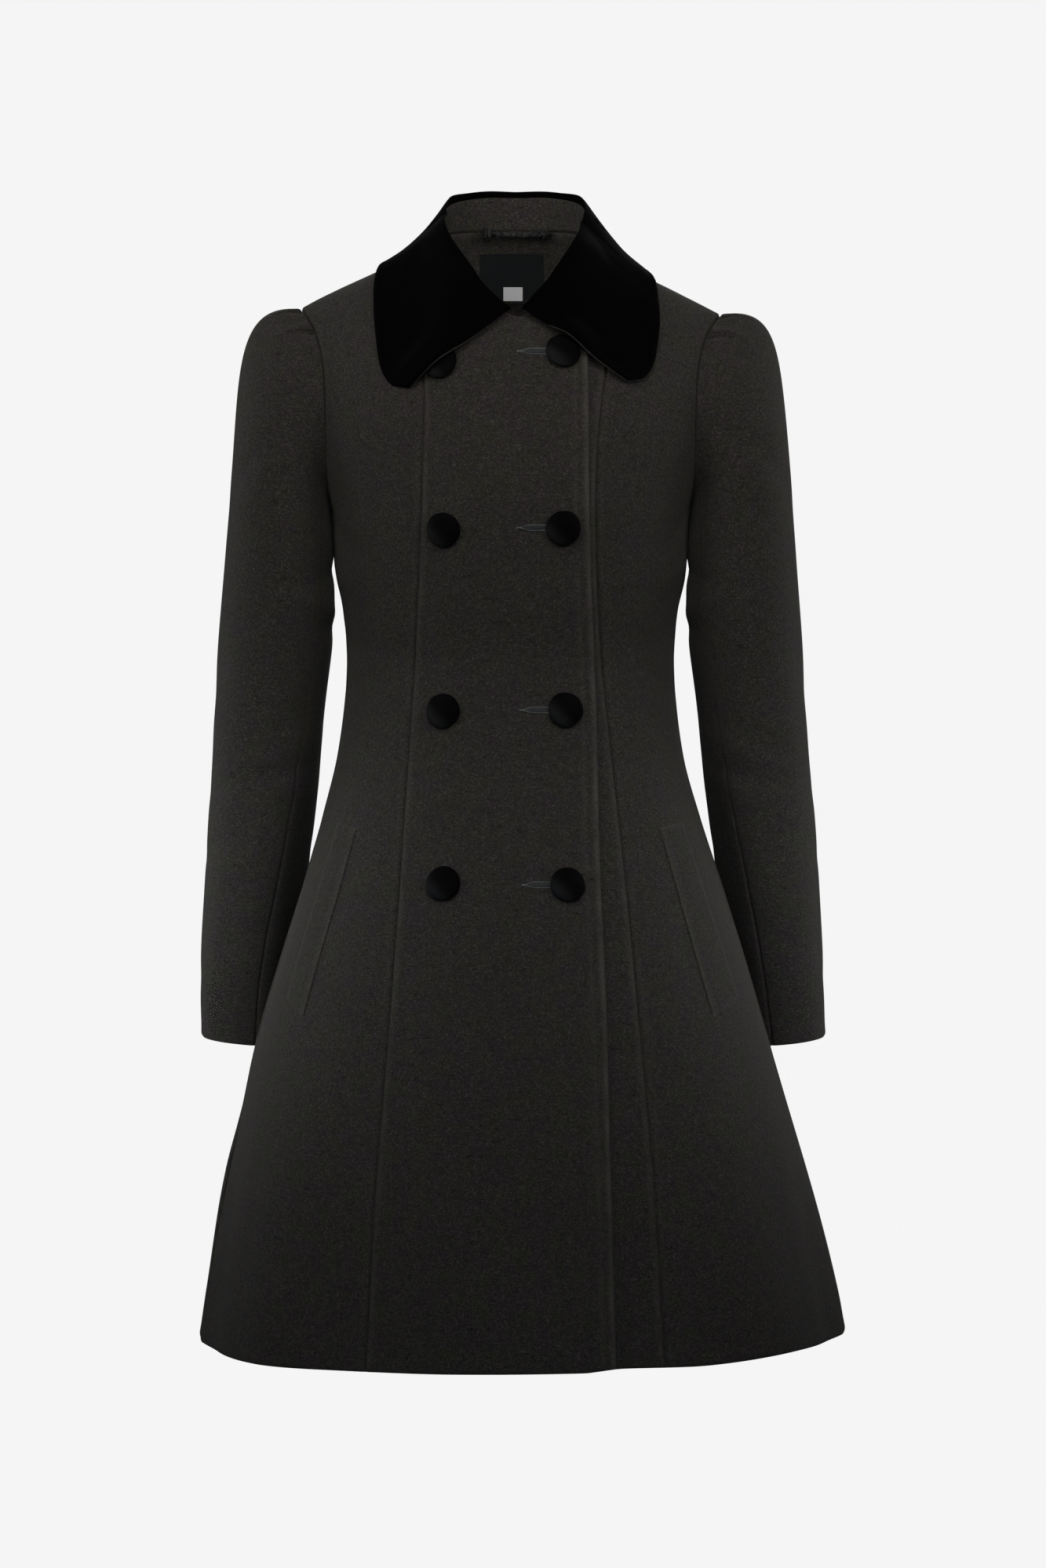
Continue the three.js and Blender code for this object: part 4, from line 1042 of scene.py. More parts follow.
add_panel(
    "front_right_center", RIGHT_PRINCESS, front_seam("overlap", OVERLAP_TOP_Z), RIGHT_CENTRE_TOP, 44,
    ("pressed", "free"), overlap_lift,
)
add_panel(
    "front_left_center", UNDERLAP_EDGE, LEFT_PRINCESS, LEFT_CENTRE_TOP, 36,
    ("free", "pressed"), None,
)
add_panel(
    "front_right_side", RIGHT_PRINCESS, side_seam(-1, False), side_top(-1, SHOULDER_PRINCESS_X, False), 36,
)
add_panel(
    "front_left_side", LEFT_PRINCESS, side_seam(1, False), side_top(1, SHOULDER_PRINCESS_X, False), 36,
)
BACK_CENTRE = add_panel("back_center", back_seam(1), back_seam(-1), back_centre_top, 54)
add_panel("back_right_side", back_seam(-1), side_seam(-1, True), side_top(-1, BACK_SEAM_TOP_X, True), 36)
add_panel("back_left_side", back_seam(1), side_seam(1, True), side_top(1, BACK_SEAM_TOP_X, True), 36)


# Sleeves: the outermost x of each section, its two half widths, its turn, and the middle's y
ARM = table(
    "z", "z outer thin deep turn y",
    (-212, 226, 41.5, 60, 0, -2),
    (-281, 231.5, 44.1, 58, 0, 0),
    (-357, 239, 44, 54, 4, 8),
    (-433, 244.5, 43, 51, 10, 20),
    (-510, 250.5, 40, 49, 18, 40),
    (-586, 256, 36, 48, 24, 68),
    (-646, 258, 34, 48, 28, 94),
)
BICEP_Z, BICEP_TILT, CUFF_Z, CUFF_TILT = -212, 33, -645, 5
CAP_ROWS, ARM_ROWS = 6, 11
HEAD_REACH, HEAD_LEAN, FALL_TOP, FALL_UNDER = 51.5, 6, 84, 8
HEAD_RISE = {-1: 6, 1: 10.5}
SLEEVE_SEAM = 140

# Folded pleats of the sleeve head: angle of the crease, the swell's width and height before it,
# the crease's depth, and how far it runs from the seam, in millimetres
PLEATS = (
    (16, 5, 1.8, 2.6, 15), (42, 6.5, 3.0, 4.2, 19), (66, 6, 0.8, 1.4, 12),
    (-18, 5, 1.8, 2.6, 15), (-43, 6.5, 3.0, 4.0, 19), (-68, 6, 1.0, 1.6, 14),
)
CREASE_WIDTH, HEAD_ARC = 1.3, 1.3


def arm_section(turn, z, tilt, side):
    """Points of the sleeve's oval section around a level."""
    level = z + tilt * np.cos(turn)
    thin, deep, twist = ARM("thin", z), ARM("deep", z), ARM("turn", z) * DEG
    half_seen = np.hypot(thin * np.cos(twist), deep * np.sin(twist))
    u, v = thin * np.cos(turn), -deep * np.sin(turn)
    x = ARM("outer", z) - half_seen + u * np.cos(twist) - v * np.sin(twist)
    y = ARM("y", z) + u * np.sin(twist) + v * np.cos(twist)
    return np.stack([side * x + BODY("shift_x", level), y, level + 0 * x], -1)


def pleat_height(turn, along):
    """Each pleat swells towards its crease from the shoulder's side, and drops steeply into it."""
    degrees = half_turn(turn / DEG)
    height = np.zeros(np.broadcast(turn, along).shape)
    start = smooth(along / 2.5)
    for angle, width, swell_mm, crease_mm, length in PLEATS:
        past = (degrees - angle) * np.sign(angle) * HEAD_ARC
        fade = np.clip(1 - along / (2.4 * length), 0, 1) ** 1.5
        swell = np.where(past < -0.6 * width, bump(past + 0.6 * width, width), smooth(-past / (0.6 * width)))
        crease = np.where(past < 0, bump(past, CREASE_WIDTH), bump(past, 2.4 * CREASE_WIDTH))
        height += swell_mm * swell * fade * start - crease_mm * crease * np.clip(1 - along / length, 0, 1)
    return height


def sleeve_point(turn, row, side):
    """A point of the sleeve: a curved head from the armhole to the arm, then sections down to the cuff."""
    turn, row = np.broadcast_arrays(np.asarray(turn, float), np.asarray(row, float))
    share = np.clip((row - CAP_ROWS) / ARM_ROWS, 0, 1)
    z = lerp(BICEP_Z, CUFF_Z, share)
    lower = arm_section(turn, z, lerp(BICEP_TILT, CUFF_TILT, smooth(share * 2)), side)
    t = np.clip(row / CAP_ROWS, 0, 1)[..., None]
    angle, level = armhole(turn, side)
    start = body_surface(angle, level)
    start[..., 0] += side * 2 * SEAM_GAP
    end = arm_section(turn, BICEP_Z, BICEP_TILT, side)
    upper = np.cos(turn / 2) ** 2
    out, over = start.copy(), end.copy()
    out[..., 0] += side * HEAD_REACH * upper
    out[..., 2] += HEAD_RISE[side] * upper**3
    over[..., 0] -= side * HEAD_LEAN * upper
    over[..., 2] += lerp(FALL_UNDER, FALL_TOP, upper)
    cap = start * (1 - t) ** 3 + 3 * out * t * (1 - t) ** 2 + 3 * over * t * t * (1 - t) + end * t**3
    return np.where((row > CAP_ROWS)[..., None], lower, cap)


def sleeve_normal(turn, row, side):
    turn_step, row_step = 0.04, 0.1
    last = CAP_ROWS + ARM_ROWS
    around = sleeve_point(turn + turn_step, row, side) - sleeve_point(turn - turn_step, row, side)
    along = sleeve_point(turn, np.minimum(row + row_step, last), side) - sleeve_point(
        turn, np.maximum(row - row_step, 0), side)
    return unit(np.cross(along, around) * -side)


# Soft creases of a sleeve: angle, level, how far they run around and along, lean, height
SLEEVE_CREASES = (
    (170, -262, 60, 8, 12, -2.2), (150, -292, 50, 8, -10, 1.6), (200, -300, 50, 9, 16, -2.0),
    (95, -398, 44, 9, 24, -1.6), (80, -430, 46, 10, 10, -2.0), (100, -455, 40, 9, -12, -1.6),
    (128, -424, 36, 9, 18, -1.5), (62, -482, 40, 9, 16, -1.2), (262, -404, 46, 10, -20, -1.5),
    (280, -440, 46, 10, -8, 1.6), (250, -476, 44, 10, 12, -1.6), (20, -350, 60, 16, 50, -1.0),
    (340, -380, 60, 16, -50, -1.0), (60, -170, 50, 11, 40, -1.4), (300, -176, 50, 11, -42, -1.4),
    (110, -560, 40, 10, 14, -1.2), (250, -570, 44, 10, -12, -1.2), (10, -600, 46, 12, 20, -0.9),
)
SLEEVE_RADIUS = 52


def sleeve_rows():
    """A sleeve's rows, close together at its head and its cuff."""
    cap = np.concatenate([[0, 0.03, 0.07, 0.12, 0.18, 0.26], np.linspace(0.36, CAP_ROWS, 44)])
    end = CAP_ROWS + ARM_ROWS
    arm = np.linspace(CAP_ROWS, end - 0.18, 92)[1:]
    return np.concatenate([cap, arm, end - HEM_STEPS[::-1] / 40])


# The sleeve head's seam allowance, from its cut edge up to the seam: depth, and reach under the body
HEAD_ALLOWANCE = ((4.9, 7.0), (4.8, 4.6), (4.3, 2.4), (3.5, 0.9), (2.4, 0.1), (1.2, 0.0), (0.3, 0.0))


def head_allowance(turn, side):
    """The sleeve head's edge, turned in and lying under the body's edge."""
    angle, level = armhole(turn, side)
    seam = body_surface(angle, level)
    seam[:, 0] += side * 2 * SEAM_GAP
    normal = body_normal(seam)
    under = unit(np.cross(normal, np.gradient(seam, axis=0)))
    hole = np.array([side * 200, 0, -130])
    under *= np.sign((under * (seam - hole)).sum(-1, keepdims=True))
    outer, inner = [], []
    path = np.array(HEAD_ALLOWANCE)
    slope = unit(np.gradient(path, axis=0))
    for (depth, reach), (along_depth, along_reach) in zip(path, slope):
        spot = seam - normal * depth + under * reach
        # The far side of the cloth: down and away from the body's edge
        away = -normal * -along_reach - under * -along_depth
        outer.append(spot)
        inner.append(spot + unit(away) * WOOL)
    return np.array(outer), np.array(inner)


# How much closer together the columns lie at the sleeve head's deeper pleats, and over how many degrees
GATHER, GATHER_WIDTH = 3.2, 5
DEEPER_PLEATS = PLEATS[:2] + PLEATS[3:5]


def gathered(u, start, end):
    """Draws the upper piece's columns together at the sleeve head's pleats."""
    if end - start < 180:
        return u
    fine = np.linspace(start, end, 1201)
    weight = 1 + sum(GATHER * bump(fine - angle, GATHER_WIDTH) for angle, *_ in DEEPER_PLEATS)
    total = np.concatenate([[0], np.cumsum((weight[1:] + weight[:-1]) / 2)])
    return np.interp(u, total / total[-1], (fine - start) / (end - start))


def add_sleeve_piece(name, side, start, end, inner_count):
    rows = sleeve_rows()
    plain = np.linspace(start, end, 41)[None, :] * DEG
    width = lengths(sleeve_point(plain, rows[:, None], side), 1)
    turn = lerp(start, end, gathered(spaced(width, inner_count), start, end)) * DEG
    row = np.repeat(rows[:, None], turn.shape[1], axis=1)
    points = sleeve_point(turn, row, side)
    normals = sleeve_normal(turn, row, side)
    across, along = distances(points, 1), distances(points, 0)
    cuff = along[-1:] - along
    creases = crease_heights(SLEEVE_CREASES, turn, points[..., 2], SLEEVE_RADIUS)
    unevenness = 0.7 * soft_noise(turn * 50, points[..., 2] * 0.6, 90, 5 + side)
    height = creases * smooth(along / 30) + pleat_height(turn, along) + unevenness * smooth(along / 25)
    body = draw_in(points) + normals * height[..., None]
    first_edge, first_wear_and_highlight = edge_shape(across, "soft", along)
    second_edge, second_wear_and_highlight = edge_shape(across[:, -1:] - across, "soft", along)
    detail = first_edge + second_edge + ridges(cuff, HEM_FOLD)
    outer = body + normals * detail[..., None]
    inner = body - normals * (WOOL - ridges(cuff, HEM_THINS))[..., None]
    # Lighter colour beside the seams and the cuff: painted highlight on their ridges, with pressed wear
    wear_and_highlight = first_wear_and_highlight + second_wear_and_highlight + ridges(cuff, CUFF_WEAR_AND_HIGHLIGHT)
    tucked_outer, tucked_inner = head_allowance(turn[0], side)
    outer = np.concatenate([tucked_outer, outer[1:]])
    inner = np.concatenate([tucked_inner, inner[1:]])
    wear_and_highlight = np.concatenate([np.zeros(tucked_outer.shape[:2]), wear_and_highlight[1:]])
    settle(add_wall(name, outer, inner, WOOL_CLOTH, wear_and_highlight), name)


for side_name, side in (("right", -1), ("left", 1)):
    add_sleeve_piece(f"sleeve_{side_name}_upper", side, -SLEEVE_SEAM, SLEEVE_SEAM, 150)
    add_sleeve_piece(f"sleeve_{side_name}_under", side, SLEEVE_SEAM, 360 - SLEEVE_SEAM, 36)


# Collar: the fold line and the outer edge at stations from the middle back to the front end
COLLAR = table(
    "at", "at roll_x roll_y roll_z edge_x edge_y edge_z leaf",
    (0, 0, 66, 55, 0, 84, -10, 0),
    (1, 26, 62, 55, 45, 76, -12, 0),
    (2, 49.5, 44, 50, 82, 50, -14, 0),
    (3, 56, 19, 41, 104, 18, -13, 0),
    (4, 55, -6, 28, 112, -18, -19, 0.1),
    (5, 48, -26, 12, 113, -46, -44, 0.3),
    (6, 37, -48, -8, 111, -66, -70, 0.6),
    (7, 22, -70, -30, 103.5, -80, -101, 1),
    (8, 10, -86, -47, 95, -90, -116, 1),
    (9, 1, -97, -60, 82, -100, -119, 1),
)
COLLAR_STATIONS, SIDE_STATION, FLAT_FROM, STAND_END = 9, 4, 5, 6.5
COLLAR_RIM, SIDE_RIM, COLLAR_REST, SHOULDER_REST, CROSSING_SHIFT = 5, 2.5, 3.2, 1.2, 3.5
COLLAR_LAYERS = VELVET + SEAM_GAP + UNDER_COLLAR
TURN_OUT, TURN_UP, TURN_MIDDLE, TURN_DROP, TURN_BULGE = 0.1, -2, 0.6, 8, 4
LEAF_WIDE = {-1: 1, 1: 7}
LEAF_DROP = {-1: -2.5, 1: 5}

# The two sides differ: height of a soft change, its station, its width
LEFT_COLLAR_DROP = ((6, 4, 1.3),)
LEFT_ROLL_IN, RIGHT_ROLL_IN = ((-4, 6, 1),), ((-6.5, 7.9, 1.1),)
FALL = np.array([0.07, 0.2, 0.38, 0.58, 0.8, 1])
BUTTON_RADIUS, BUTTON_HEIGHT = 14, 6.3

# Buttons: x and level of each middle, the wearer's left column first
BUTTON_PLACES = (
    (("left", 40.4, -93), ("right", -54, -101)),
    (("left", 40.4, -231), ("right", -51.5, -232.5)),
    (("left", 42.4, -375), ("right", -51.8, -376)),
    (("left", 44, -513), ("right", -51.3, -512.5)),
)


def collar_clearance(p):
    """How far above the body the collar lies, over the lap and the top buttons too."""
    on_front = smooth((-20 - p[..., 1]) / 40)
    over_lap = smooth((p[..., 0] + 75) / 30) * on_front
    rest = lerp(SHOULDER_REST, COLLAR_REST, on_front)
    over_buttons = 0
    for _, x, z in BUTTON_PLACES[0]:
        away = np.hypot(p[..., 0] - x, p[..., 2] - z)
        over_buttons = np.maximum(over_buttons, smooth((BUTTON_RADIUS + 17 - away) / 15))
    return COLLAR_LAYERS + rest + OVERLAP_LIFT * over_lap + BUTTON_HEIGHT * over_buttons * on_front


def collar_read(name, at, side):
    """Points of one of the collar's lines at its stations."""
    x = NECK_CENTRE_X + side * COLLAR(name + "_x", at)
    return np.stack([x, COLLAR(name + "_y", at), COLLAR(name + "_z", at)], -1)


def neck_base(at, side):
    """The neck seam below each station."""
    back = at < SIDE_STATION
    share = np.where(back, 1 - at / SIDE_STATION, (at - SIDE_STATION) / (COLLAR_STATIONS - SIDE_STATION))
    x_back = NECKLINE("back_x", share)
    x_front = NECKLINE("front_x", share)
    x = NECK_CENTRE_X * smooth(share) + side * np.where(back, x_back, x_front)
    z = np.where(back, NECKLINE("back_z", share), NECKLINE("front_z", share))
    return body_surface(angle_of(x, z, back), z)


def collar_parts(steps):
    """Points of the collar at each station: neck seam, rim, fold line and fall."""
    signed = np.linspace(-COLLAR_STATIONS, COLLAR_STATIONS, 2 * steps + 1)
    side, at = np.where(signed < 0, -1, 1), np.abs(signed)
    leaf = COLLAR("leaf", at)
    roll, edge = collar_read("roll", at, side), collar_read("edge", at, side)
    edge[:, 0] += side * np.where(side < 0, LEAF_WIDE[-1], LEAF_WIDE[1]) * leaf
    edge[:, 2] += np.where(side < 0, LEAF_DROP[-1], LEAF_DROP[1]) * leaf
    edge[:, 2] -= np.where(side > 0, ridges(at, LEFT_COLLAR_DROP), 0)
    left_shift = CROSSING_SHIFT * smooth((at - 4) / 5) + ridges(at, LEFT_ROLL_IN)
    roll[:, 0] += np.where(side > 0, left_shift, ridges(at, RIGHT_ROLL_IN))
    base = neck_base(at, side)
    flat = smooth((at - FLAT_FROM) / (COLLAR_STATIONS - 1 - FLAT_FROM))
    roll = clear_of_body(roll, (collar_clearance(roll) + 0.5) * flat)
    to_edge = edge - roll
    out = roll + to_edge * np.array([TURN_OUT, TURN_OUT, 0]) + np.array([0, 0, TURN_UP])
    middle = clear_of_body(edge - to_edge * TURN_MIDDLE - np.array([0, 0, TURN_DROP]), TURN_BULGE)
    rested = clear_of_body(edge, collar_clearance(edge))
    t = FALL[None, :, None]
    fall = (roll[:, None] * (1 - t) ** 3 + 3 * out[:, None] * t * (1 - t) ** 2
            + 3 * middle[:, None] * t * t * (1 - t) + rested[:, None] * t**3)
    keep = np.minimum(1, FALL[None, :] * 3 + flat[:, None])
    fall = clear_of_body(fall, collar_clearance(fall) * keep)
    down = base - roll
    size = np.linalg.norm(down, axis=-1)
    rim = roll + unit(down) * np.minimum(COLLAR_RIM + SIDE_RIM * bump(at - 3, 1.4), size * 0.4)[:, None]
    inward = unit(np.stack([NECK_CENTRE_X - roll[:, 0], -roll[:, 1], 0 * at], -1))
    rim = rim + inward * (1.5 * (1 - flat))[:, None]
    rim = clear_of_body(rim, collar_clearance(rim) * flat)
    return {"at": at, "base": base, "rim": rim, "roll": roll, "fall": fall, "edge": edge}


KNOT_POWER, FINE_STEPS = 0.5, 400


def through(points, steps):
    """A smooth curve through each row of points, evenly spaced: (rows, steps, 3)."""
    rows, count = points.shape[:2]
    gaps = np.linalg.norm(np.diff(points, axis=1), axis=-1) ** KNOT_POWER
    knots = np.concatenate([np.zeros((rows, 1)), np.cumsum(gaps, axis=1)], axis=1)
    fine = np.zeros((rows, FINE_STEPS, 3))
    at = np.linspace(0, 1, FINE_STEPS)
    for r in range(rows):
        k = knots[r] / knots[r, -1]
        i = np.clip(np.searchsorted(k, at, side="right") - 1, 0, count - 2)
        before, after = np.maximum(i - 1, 0), np.minimum(i + 2, count - 1)
        p = points[r]
        slope_a = (p[i + 1] - p[before]) / (k[i + 1] - k[before])[:, None]
        slope_b = (p[after] - p[i]) / (k[after] - k[i])[:, None]
        span = (k[i + 1] - k[i])[:, None]
        s = (at[:, None] - k[i][:, None]) / span
        fine[r] = (p[i] * (1 + 2 * s) * (1 - s) ** 2 + p[i + 1] * s * s * (3 - 2 * s)
                   + slope_a * span * s * (1 - s) ** 2 + slope_b * span * s * s * (s - 1))
    length = distances(fine, 1)
    even = np.zeros((rows, len(steps), 3))
    for r in range(rows):
        for axis in range(3):
            even[r, :, axis] = np.interp(steps * length[r, -1], length[r], fine[r, :, axis])
    return even


def grid_normals(points, centres):
    """Normals of a grid of points, away from the centres."""
    normals = unit(np.cross(np.gradient(points, axis=0), np.gradient(points, axis=1)))
    away = (normals * (points - centres)).sum(-1, keepdims=True)
    return np.where(away < 0, -normals, normals)


PARTS = collar_parts(110)


LEAF_STEPS = close_at_ends(46)
LEAF_SECTIONS = np.concatenate([PARTS["rim"][:, None], PARTS["roll"][:, None], PARTS["fall"]], axis=1)
LEAF = through(LEAF_SECTIONS, LEAF_STEPS)


def one_way_normals(points):
    """Normals of the collar, all on the side that shows on the fall."""
    normals = unit(np.cross(np.gradient(points, axis=0), np.gradient(points, axis=1)))
    middle = points.shape[1] * 3 // 4
    outward = body_normal(points[:, middle])
    turned = (normals[:, middle] * outward).sum(-1).mean() < 0
    return -normals if turned else normals


LEAF_NORMALS = one_way_normals(LEAF)


COLLAR_START, COLLAR_EDGE = ((-0.8, 0, 1.0),), ((-0.8, 0, 1.0), (0.35, 4, 2.4))


def add_top_collar():
    across, along = distances(LEAF, 1), distances(LEAF, 0)
    to_edge = across[:, -1:] - across
    ends = np.minimum(along, along[-1:] - along)
    height = 0.5 * soft_noise(along, across, 70, 11) * smooth(to_edge / 10) * smooth(across / 20)
    detail = ridges(to_edge, COLLAR_EDGE) + ridges(ends, COLLAR_EDGE) + ridges(across, COLLAR_START)
    outer = LEAF + LEAF_NORMALS * (height + detail)[..., None]
    inner = LEAF + LEAF_NORMALS * (height - VELVET)[..., None]
    obj = add_wall("top_collar", outer, inner, VELVET_CLOTH)
    settle(obj, "top_collar")


# The under collar starts past the fold, and shows as a thin line of wool beyond the velvet's edge
UNDER_FROM, UNDER_SHOWS = 0.24, 0.6


def add_under_collar():
    start = int(np.searchsorted(LEAF_STEPS, UNDER_FROM))
    points, normals = LEAF[:, start:], LEAF_NORMALS[:, start:]
    rim = points.copy()
    rim[:, -1] += UNDER_SHOWS * unit(points[:, -1] - points[:, -2])
    rim[0] += UNDER_SHOWS * unit(points[0] - points[1])
    rim[-1] += UNDER_SHOWS * unit(points[-1] - points[-2])
    outer = rim - normals * (VELVET + SEAM_GAP)
    inner = rim - normals * COLLAR_LAYERS
    settle(add_wall("under_collar", outer, inner, WOOL_CLOTH), "under_collar")


STAND_TOP, STAND_SEAM, STAND_TUCK = ((-0.5, 0, 1.0),), ((-0.9, 0, 0.9),), 2.9


def add_stand():
    here = PARTS["at"] <= STAND_END
    base, rim, edge = PARTS["base"][here], PARTS["rim"][here], PARTS["edge"][here]
    up = unit(rim - base)
    t = np.concatenate([[-0.16, -0.12, -0.07, -0.03, 0.0, 0.03], np.linspace(0.07, 1, 16)])[None, :, None]
    points = lerp(base[:, None], (rim - up * 0.5)[:, None], t)
    centres = np.repeat(edge[:, None], points.shape[1], axis=1)
    normals = grid_normals(points, centres)
    foot = distances(points, 1)
    seam = foot[:, 4:5]
    # The foot is turned in behind the back's top edge, past the neck seam
    tucked = STAND_TUCK * smooth((seam + 0.6 - foot) / 1.6)
    detail = ridges(foot[:, -1:] - foot, STAND_TOP) + ridges(foot - seam, STAND_SEAM)
    points = points - normals * tucked[..., None]
    outer = points + normals * detail[..., None]
    inner = points - normals * STAND
    settle(add_wall("collar_stand", outer, inner, WOOL_INSIDE_PAINTED_LIGHTER), "collar_stand")


add_top_collar()
add_under_collar()
add_stand()


def front_frame(x, z):
    """The lapped front's surface at x and level: place, normal, and level and upright directions."""
    probe = np.array([[x, z], [x + 4, z], [x, z + 4]], float)
    angle = angle_of(probe[:, 0], probe[:, 1])
    points = body_surface(angle, probe[:, 1])
    normals = body_normal(points)
    relief = cloth_relief(angle, probe[:, 1])
    points = points + normals * (overlap_lift(probe[:, 0], probe[:, 1]) + relief)[:, None]
    level = unit(points[1] - points[0])
    normal = unit(np.cross(level, points[2] - points[0]))
    normal = -normal if normal[1] > 0 else normal
    upright = unit(np.cross(normal, level))
    return points[0], normal, level, upright if upright[2] > 0 else -upright


def ring_faces(rings, sides):
    """Faces between rings of points, each ring with the same number of sides."""
    corners = [(r * sides + i, r * sides + (i + 1) % sides) for r in range(rings - 1) for i in range(sides)]
    return [(a, b, b + sides, a + sides) for a, b in corners]


# A button's rings, from its foot up to its top: shares of its radius and of its height
BUTTON_RINGS = (
    (0.5, 0), (0.86, 0.0), (0.95, 0.06), (0.99, 0.15), (1.0, 0.26), (0.985, 0.37), (0.95, 0.48),
    (0.89, 0.6), (0.8, 0.72), (0.68, 0.83), (0.52, 0.92), (0.34, 0.975), (0.16, 0.995),
)
BUTTON_SIDES, BUTTON_GAP = 56, 0.4


def add_button(name, x, z, seed):
    place, normal, level, upright = front_frame(x, z)
    turns = np.linspace(0, 2 * np.pi, BUTTON_SIDES, endpoint=False)
    wobble = 1 + 0.012 * np.sin(3 * turns + seed) + 0.008 * np.sin(5 * turns + 2 * seed)
    points = []
    for radius, height in BUTTON_RINGS:
        gathers = 1 + 0.01 * np.sin(22 * turns + seed) * bump(height - 0.12, 0.15)
        reach = BUTTON_RADIUS * radius * wobble * gathers
        points.append(place + normal * (BUTTON_GAP + BUTTON_HEIGHT * height)
                      + np.outer(reach * np.cos(turns), level) + np.outer(reach * np.sin(turns), upright))
    faces = ring_faces(len(points), BUTTON_SIDES)
    last, bottom = (len(points) - 1) * BUTTON_SIDES, len(points) * BUTTON_SIDES
    ends = [place + normal * BUTTON_GAP, place + normal * (BUTTON_GAP + BUTTON_HEIGHT)]
    flat = np.concatenate(points + [ends])
    for i in range(BUTTON_SIDES):
        j = (i + 1) % BUTTON_SIDES
        faces.append((bottom, j, i))
        faces.append((bottom + 1, last + i, last + j))
    obj = add_mesh(name, flat, faces, BUTTON_VELVET)
    # Painted sheen of the velvet pile on each button's lower left
    away = (flat - place) / BUTTON_RADIUS
    toward = -(away @ level) * 0.72 - (away @ upright) * 0.7 + 0.06 * math.sin(seed)
    mark_wear_and_highlight(obj, bump(toward - 0.78, 0.42) * ((away @ normal) > 0.1))
    settle(obj, name)


for number, row in enumerate(BUTTON_PLACES, 1):
    for side_name, x, z in row:
        add_button(f"button_{side_name}_{number}", x, z, number + x)


# Small threads and cords
def tube(path, radius, sides=8):
    """Points and faces of a closed tube along a path."""
    path = np.asarray(path, float)
    ahead = unit(np.gradient(path, axis=0))
    helper = np.array([0.0, 0.0, 1.0]) if abs(ahead[0][2]) < 0.9 else np.array([1.0, 0.0, 0.0])
    first = unit(np.cross(ahead, helper))
    second = np.cross(ahead, first)
    radius = np.broadcast_to(radius, len(path))[:, None, None]
    turns = np.linspace(0, 2 * np.pi, sides, endpoint=False)[None, :, None]
    ring = path[:, None] + radius * (np.cos(turns) * first[:, None] + np.sin(turns) * second[:, None])
    last = (len(path) - 1) * sides
    ends = [tuple(range(sides))[::-1], tuple(last + i for i in range(sides))]
    return ring.reshape(-1, 3), ring_faces(len(path), sides) + ends


def join_shapes(shapes):
    """Points and faces of several shapes in one."""
    points, faces, total = [], [], 0
    for shape_points, shape_faces in shapes:
        points.append(shape_points)
        faces.extend(tuple(i + total for i in face) for face in shape_faces)
        total += len(shape_points)
    return np.concatenate(points), faces


def stitch(start, end, normal, radius, height):
    """One stitch: a short thread that rises a little between its ends."""
    t = np.linspace(0, 1, 5)[:, None]
    arch = np.sin(t * np.pi) * height
    thick = radius * (0.55 + 0.45 * np.sin(np.clip(t[:, 0], 0.08, 0.92) * np.pi))
    return tube(lerp(start, end, t) + normal * arch, thick, 6)


# Buttonholes, level slits with a pointed inner end, each stitched all round
HOLE_LENGTH, HOLE_HALF, HOLE_STITCH, HOLE_STITCHES, SLIT_STEPS = 34, 2.1, 0.8, 34, 24


def add_buttonhole(number, x, z):
    _, normal, _, _ = front_frame(x - 16, z)
    shapes = []
    rng = np.random.default_rng(40 + number)
    tip, heel = x - HOLE_LENGTH, x - 4

    def at(px, off):
        spot, out, _, _ = front_frame(px, z + off)
        return spot + out * 0.15

    edge_lines = {1: [], -1: []}
    for i in range(HOLE_STITCHES):
        share = (i + 0.5) / HOLE_STITCHES
        px = lerp(tip, heel, share)
        half = HOLE_HALF * smooth(share * 3.2) + 0.12
        for way in (1, -1):
            inner = at(px, way * half * 0.85)
            outer = at(px + rng.uniform(-0.15, 0.15), way * (half + HOLE_STITCH * rng.uniform(0.75, 1.1)))
            shapes.append(stitch(inner, outer, normal, 0.24, 0.35))
            edge_lines[way].append(at(px, way * half * 0.9) + normal * 0.3)
    for way in (1, -1):
        shapes.append(tube(edge_lines[way], 0.28, 7))
    for turn in np.linspace(-0.9, 0.9, 7):
        inner = at(tip + 0.3, 0.2 * math.sin(turn))
        outer = at(tip - 1.6 * math.cos(turn), 1.1 * math.sin(turn))
        shapes.append(stitch(inner, outer, normal, 0.22, 0.3))
    obj = add_mesh(f"buttonhole_{number}", *join_shapes(shapes), THREAD_CLOTH)
    settle(obj, None)
    # A dark sheet of label cloth along each slit: painted shade of the opening
    slit = [at(lerp(tip + 1, heel, s), 0) - normal * 0.05 for s in np.linspace(0, 1, SLIT_STEPS)]
    width = HOLE_HALF * 0.8 * smooth(np.linspace(0.02, 1, SLIT_STEPS) * 3.2) + 0.05
    points, faces = tube(slit, width, 8)
    centre = np.repeat(np.array(slit), 8, axis=0)
    points = points - np.outer(((points - centre) * normal).sum(-1) * 0.85, normal)
    settle(add_mesh(f"buttonhole_slit_{number}", points, faces, LABEL_CLOTH), None)


for number, row in enumerate(BUTTON_PLACES, 1):
    _, x, z = row[0]
    add_buttonhole(number, x, z)


# Slanted pocket welts: side, angles and levels of the front and back corners, top then foot
WELTS = {
    "right": (-1, (49, 60), (51.5, 61.5)),
    "left": (1, (45.5, 58), (48.5, 62.5)),
}
WELT_TOP_Z, WELT_FOOT_Z = (-468, -463), (-617, -603)
WELT_FRONT = ((-0.6, 0, 1.0), (0.3, 3.5, 2.2), (-0.25, 7, 1.1))
WELT_BACK, WELT_ENDS = ((-1.1, 0, 2.4),), ((-0.9, 0, 1.6),)
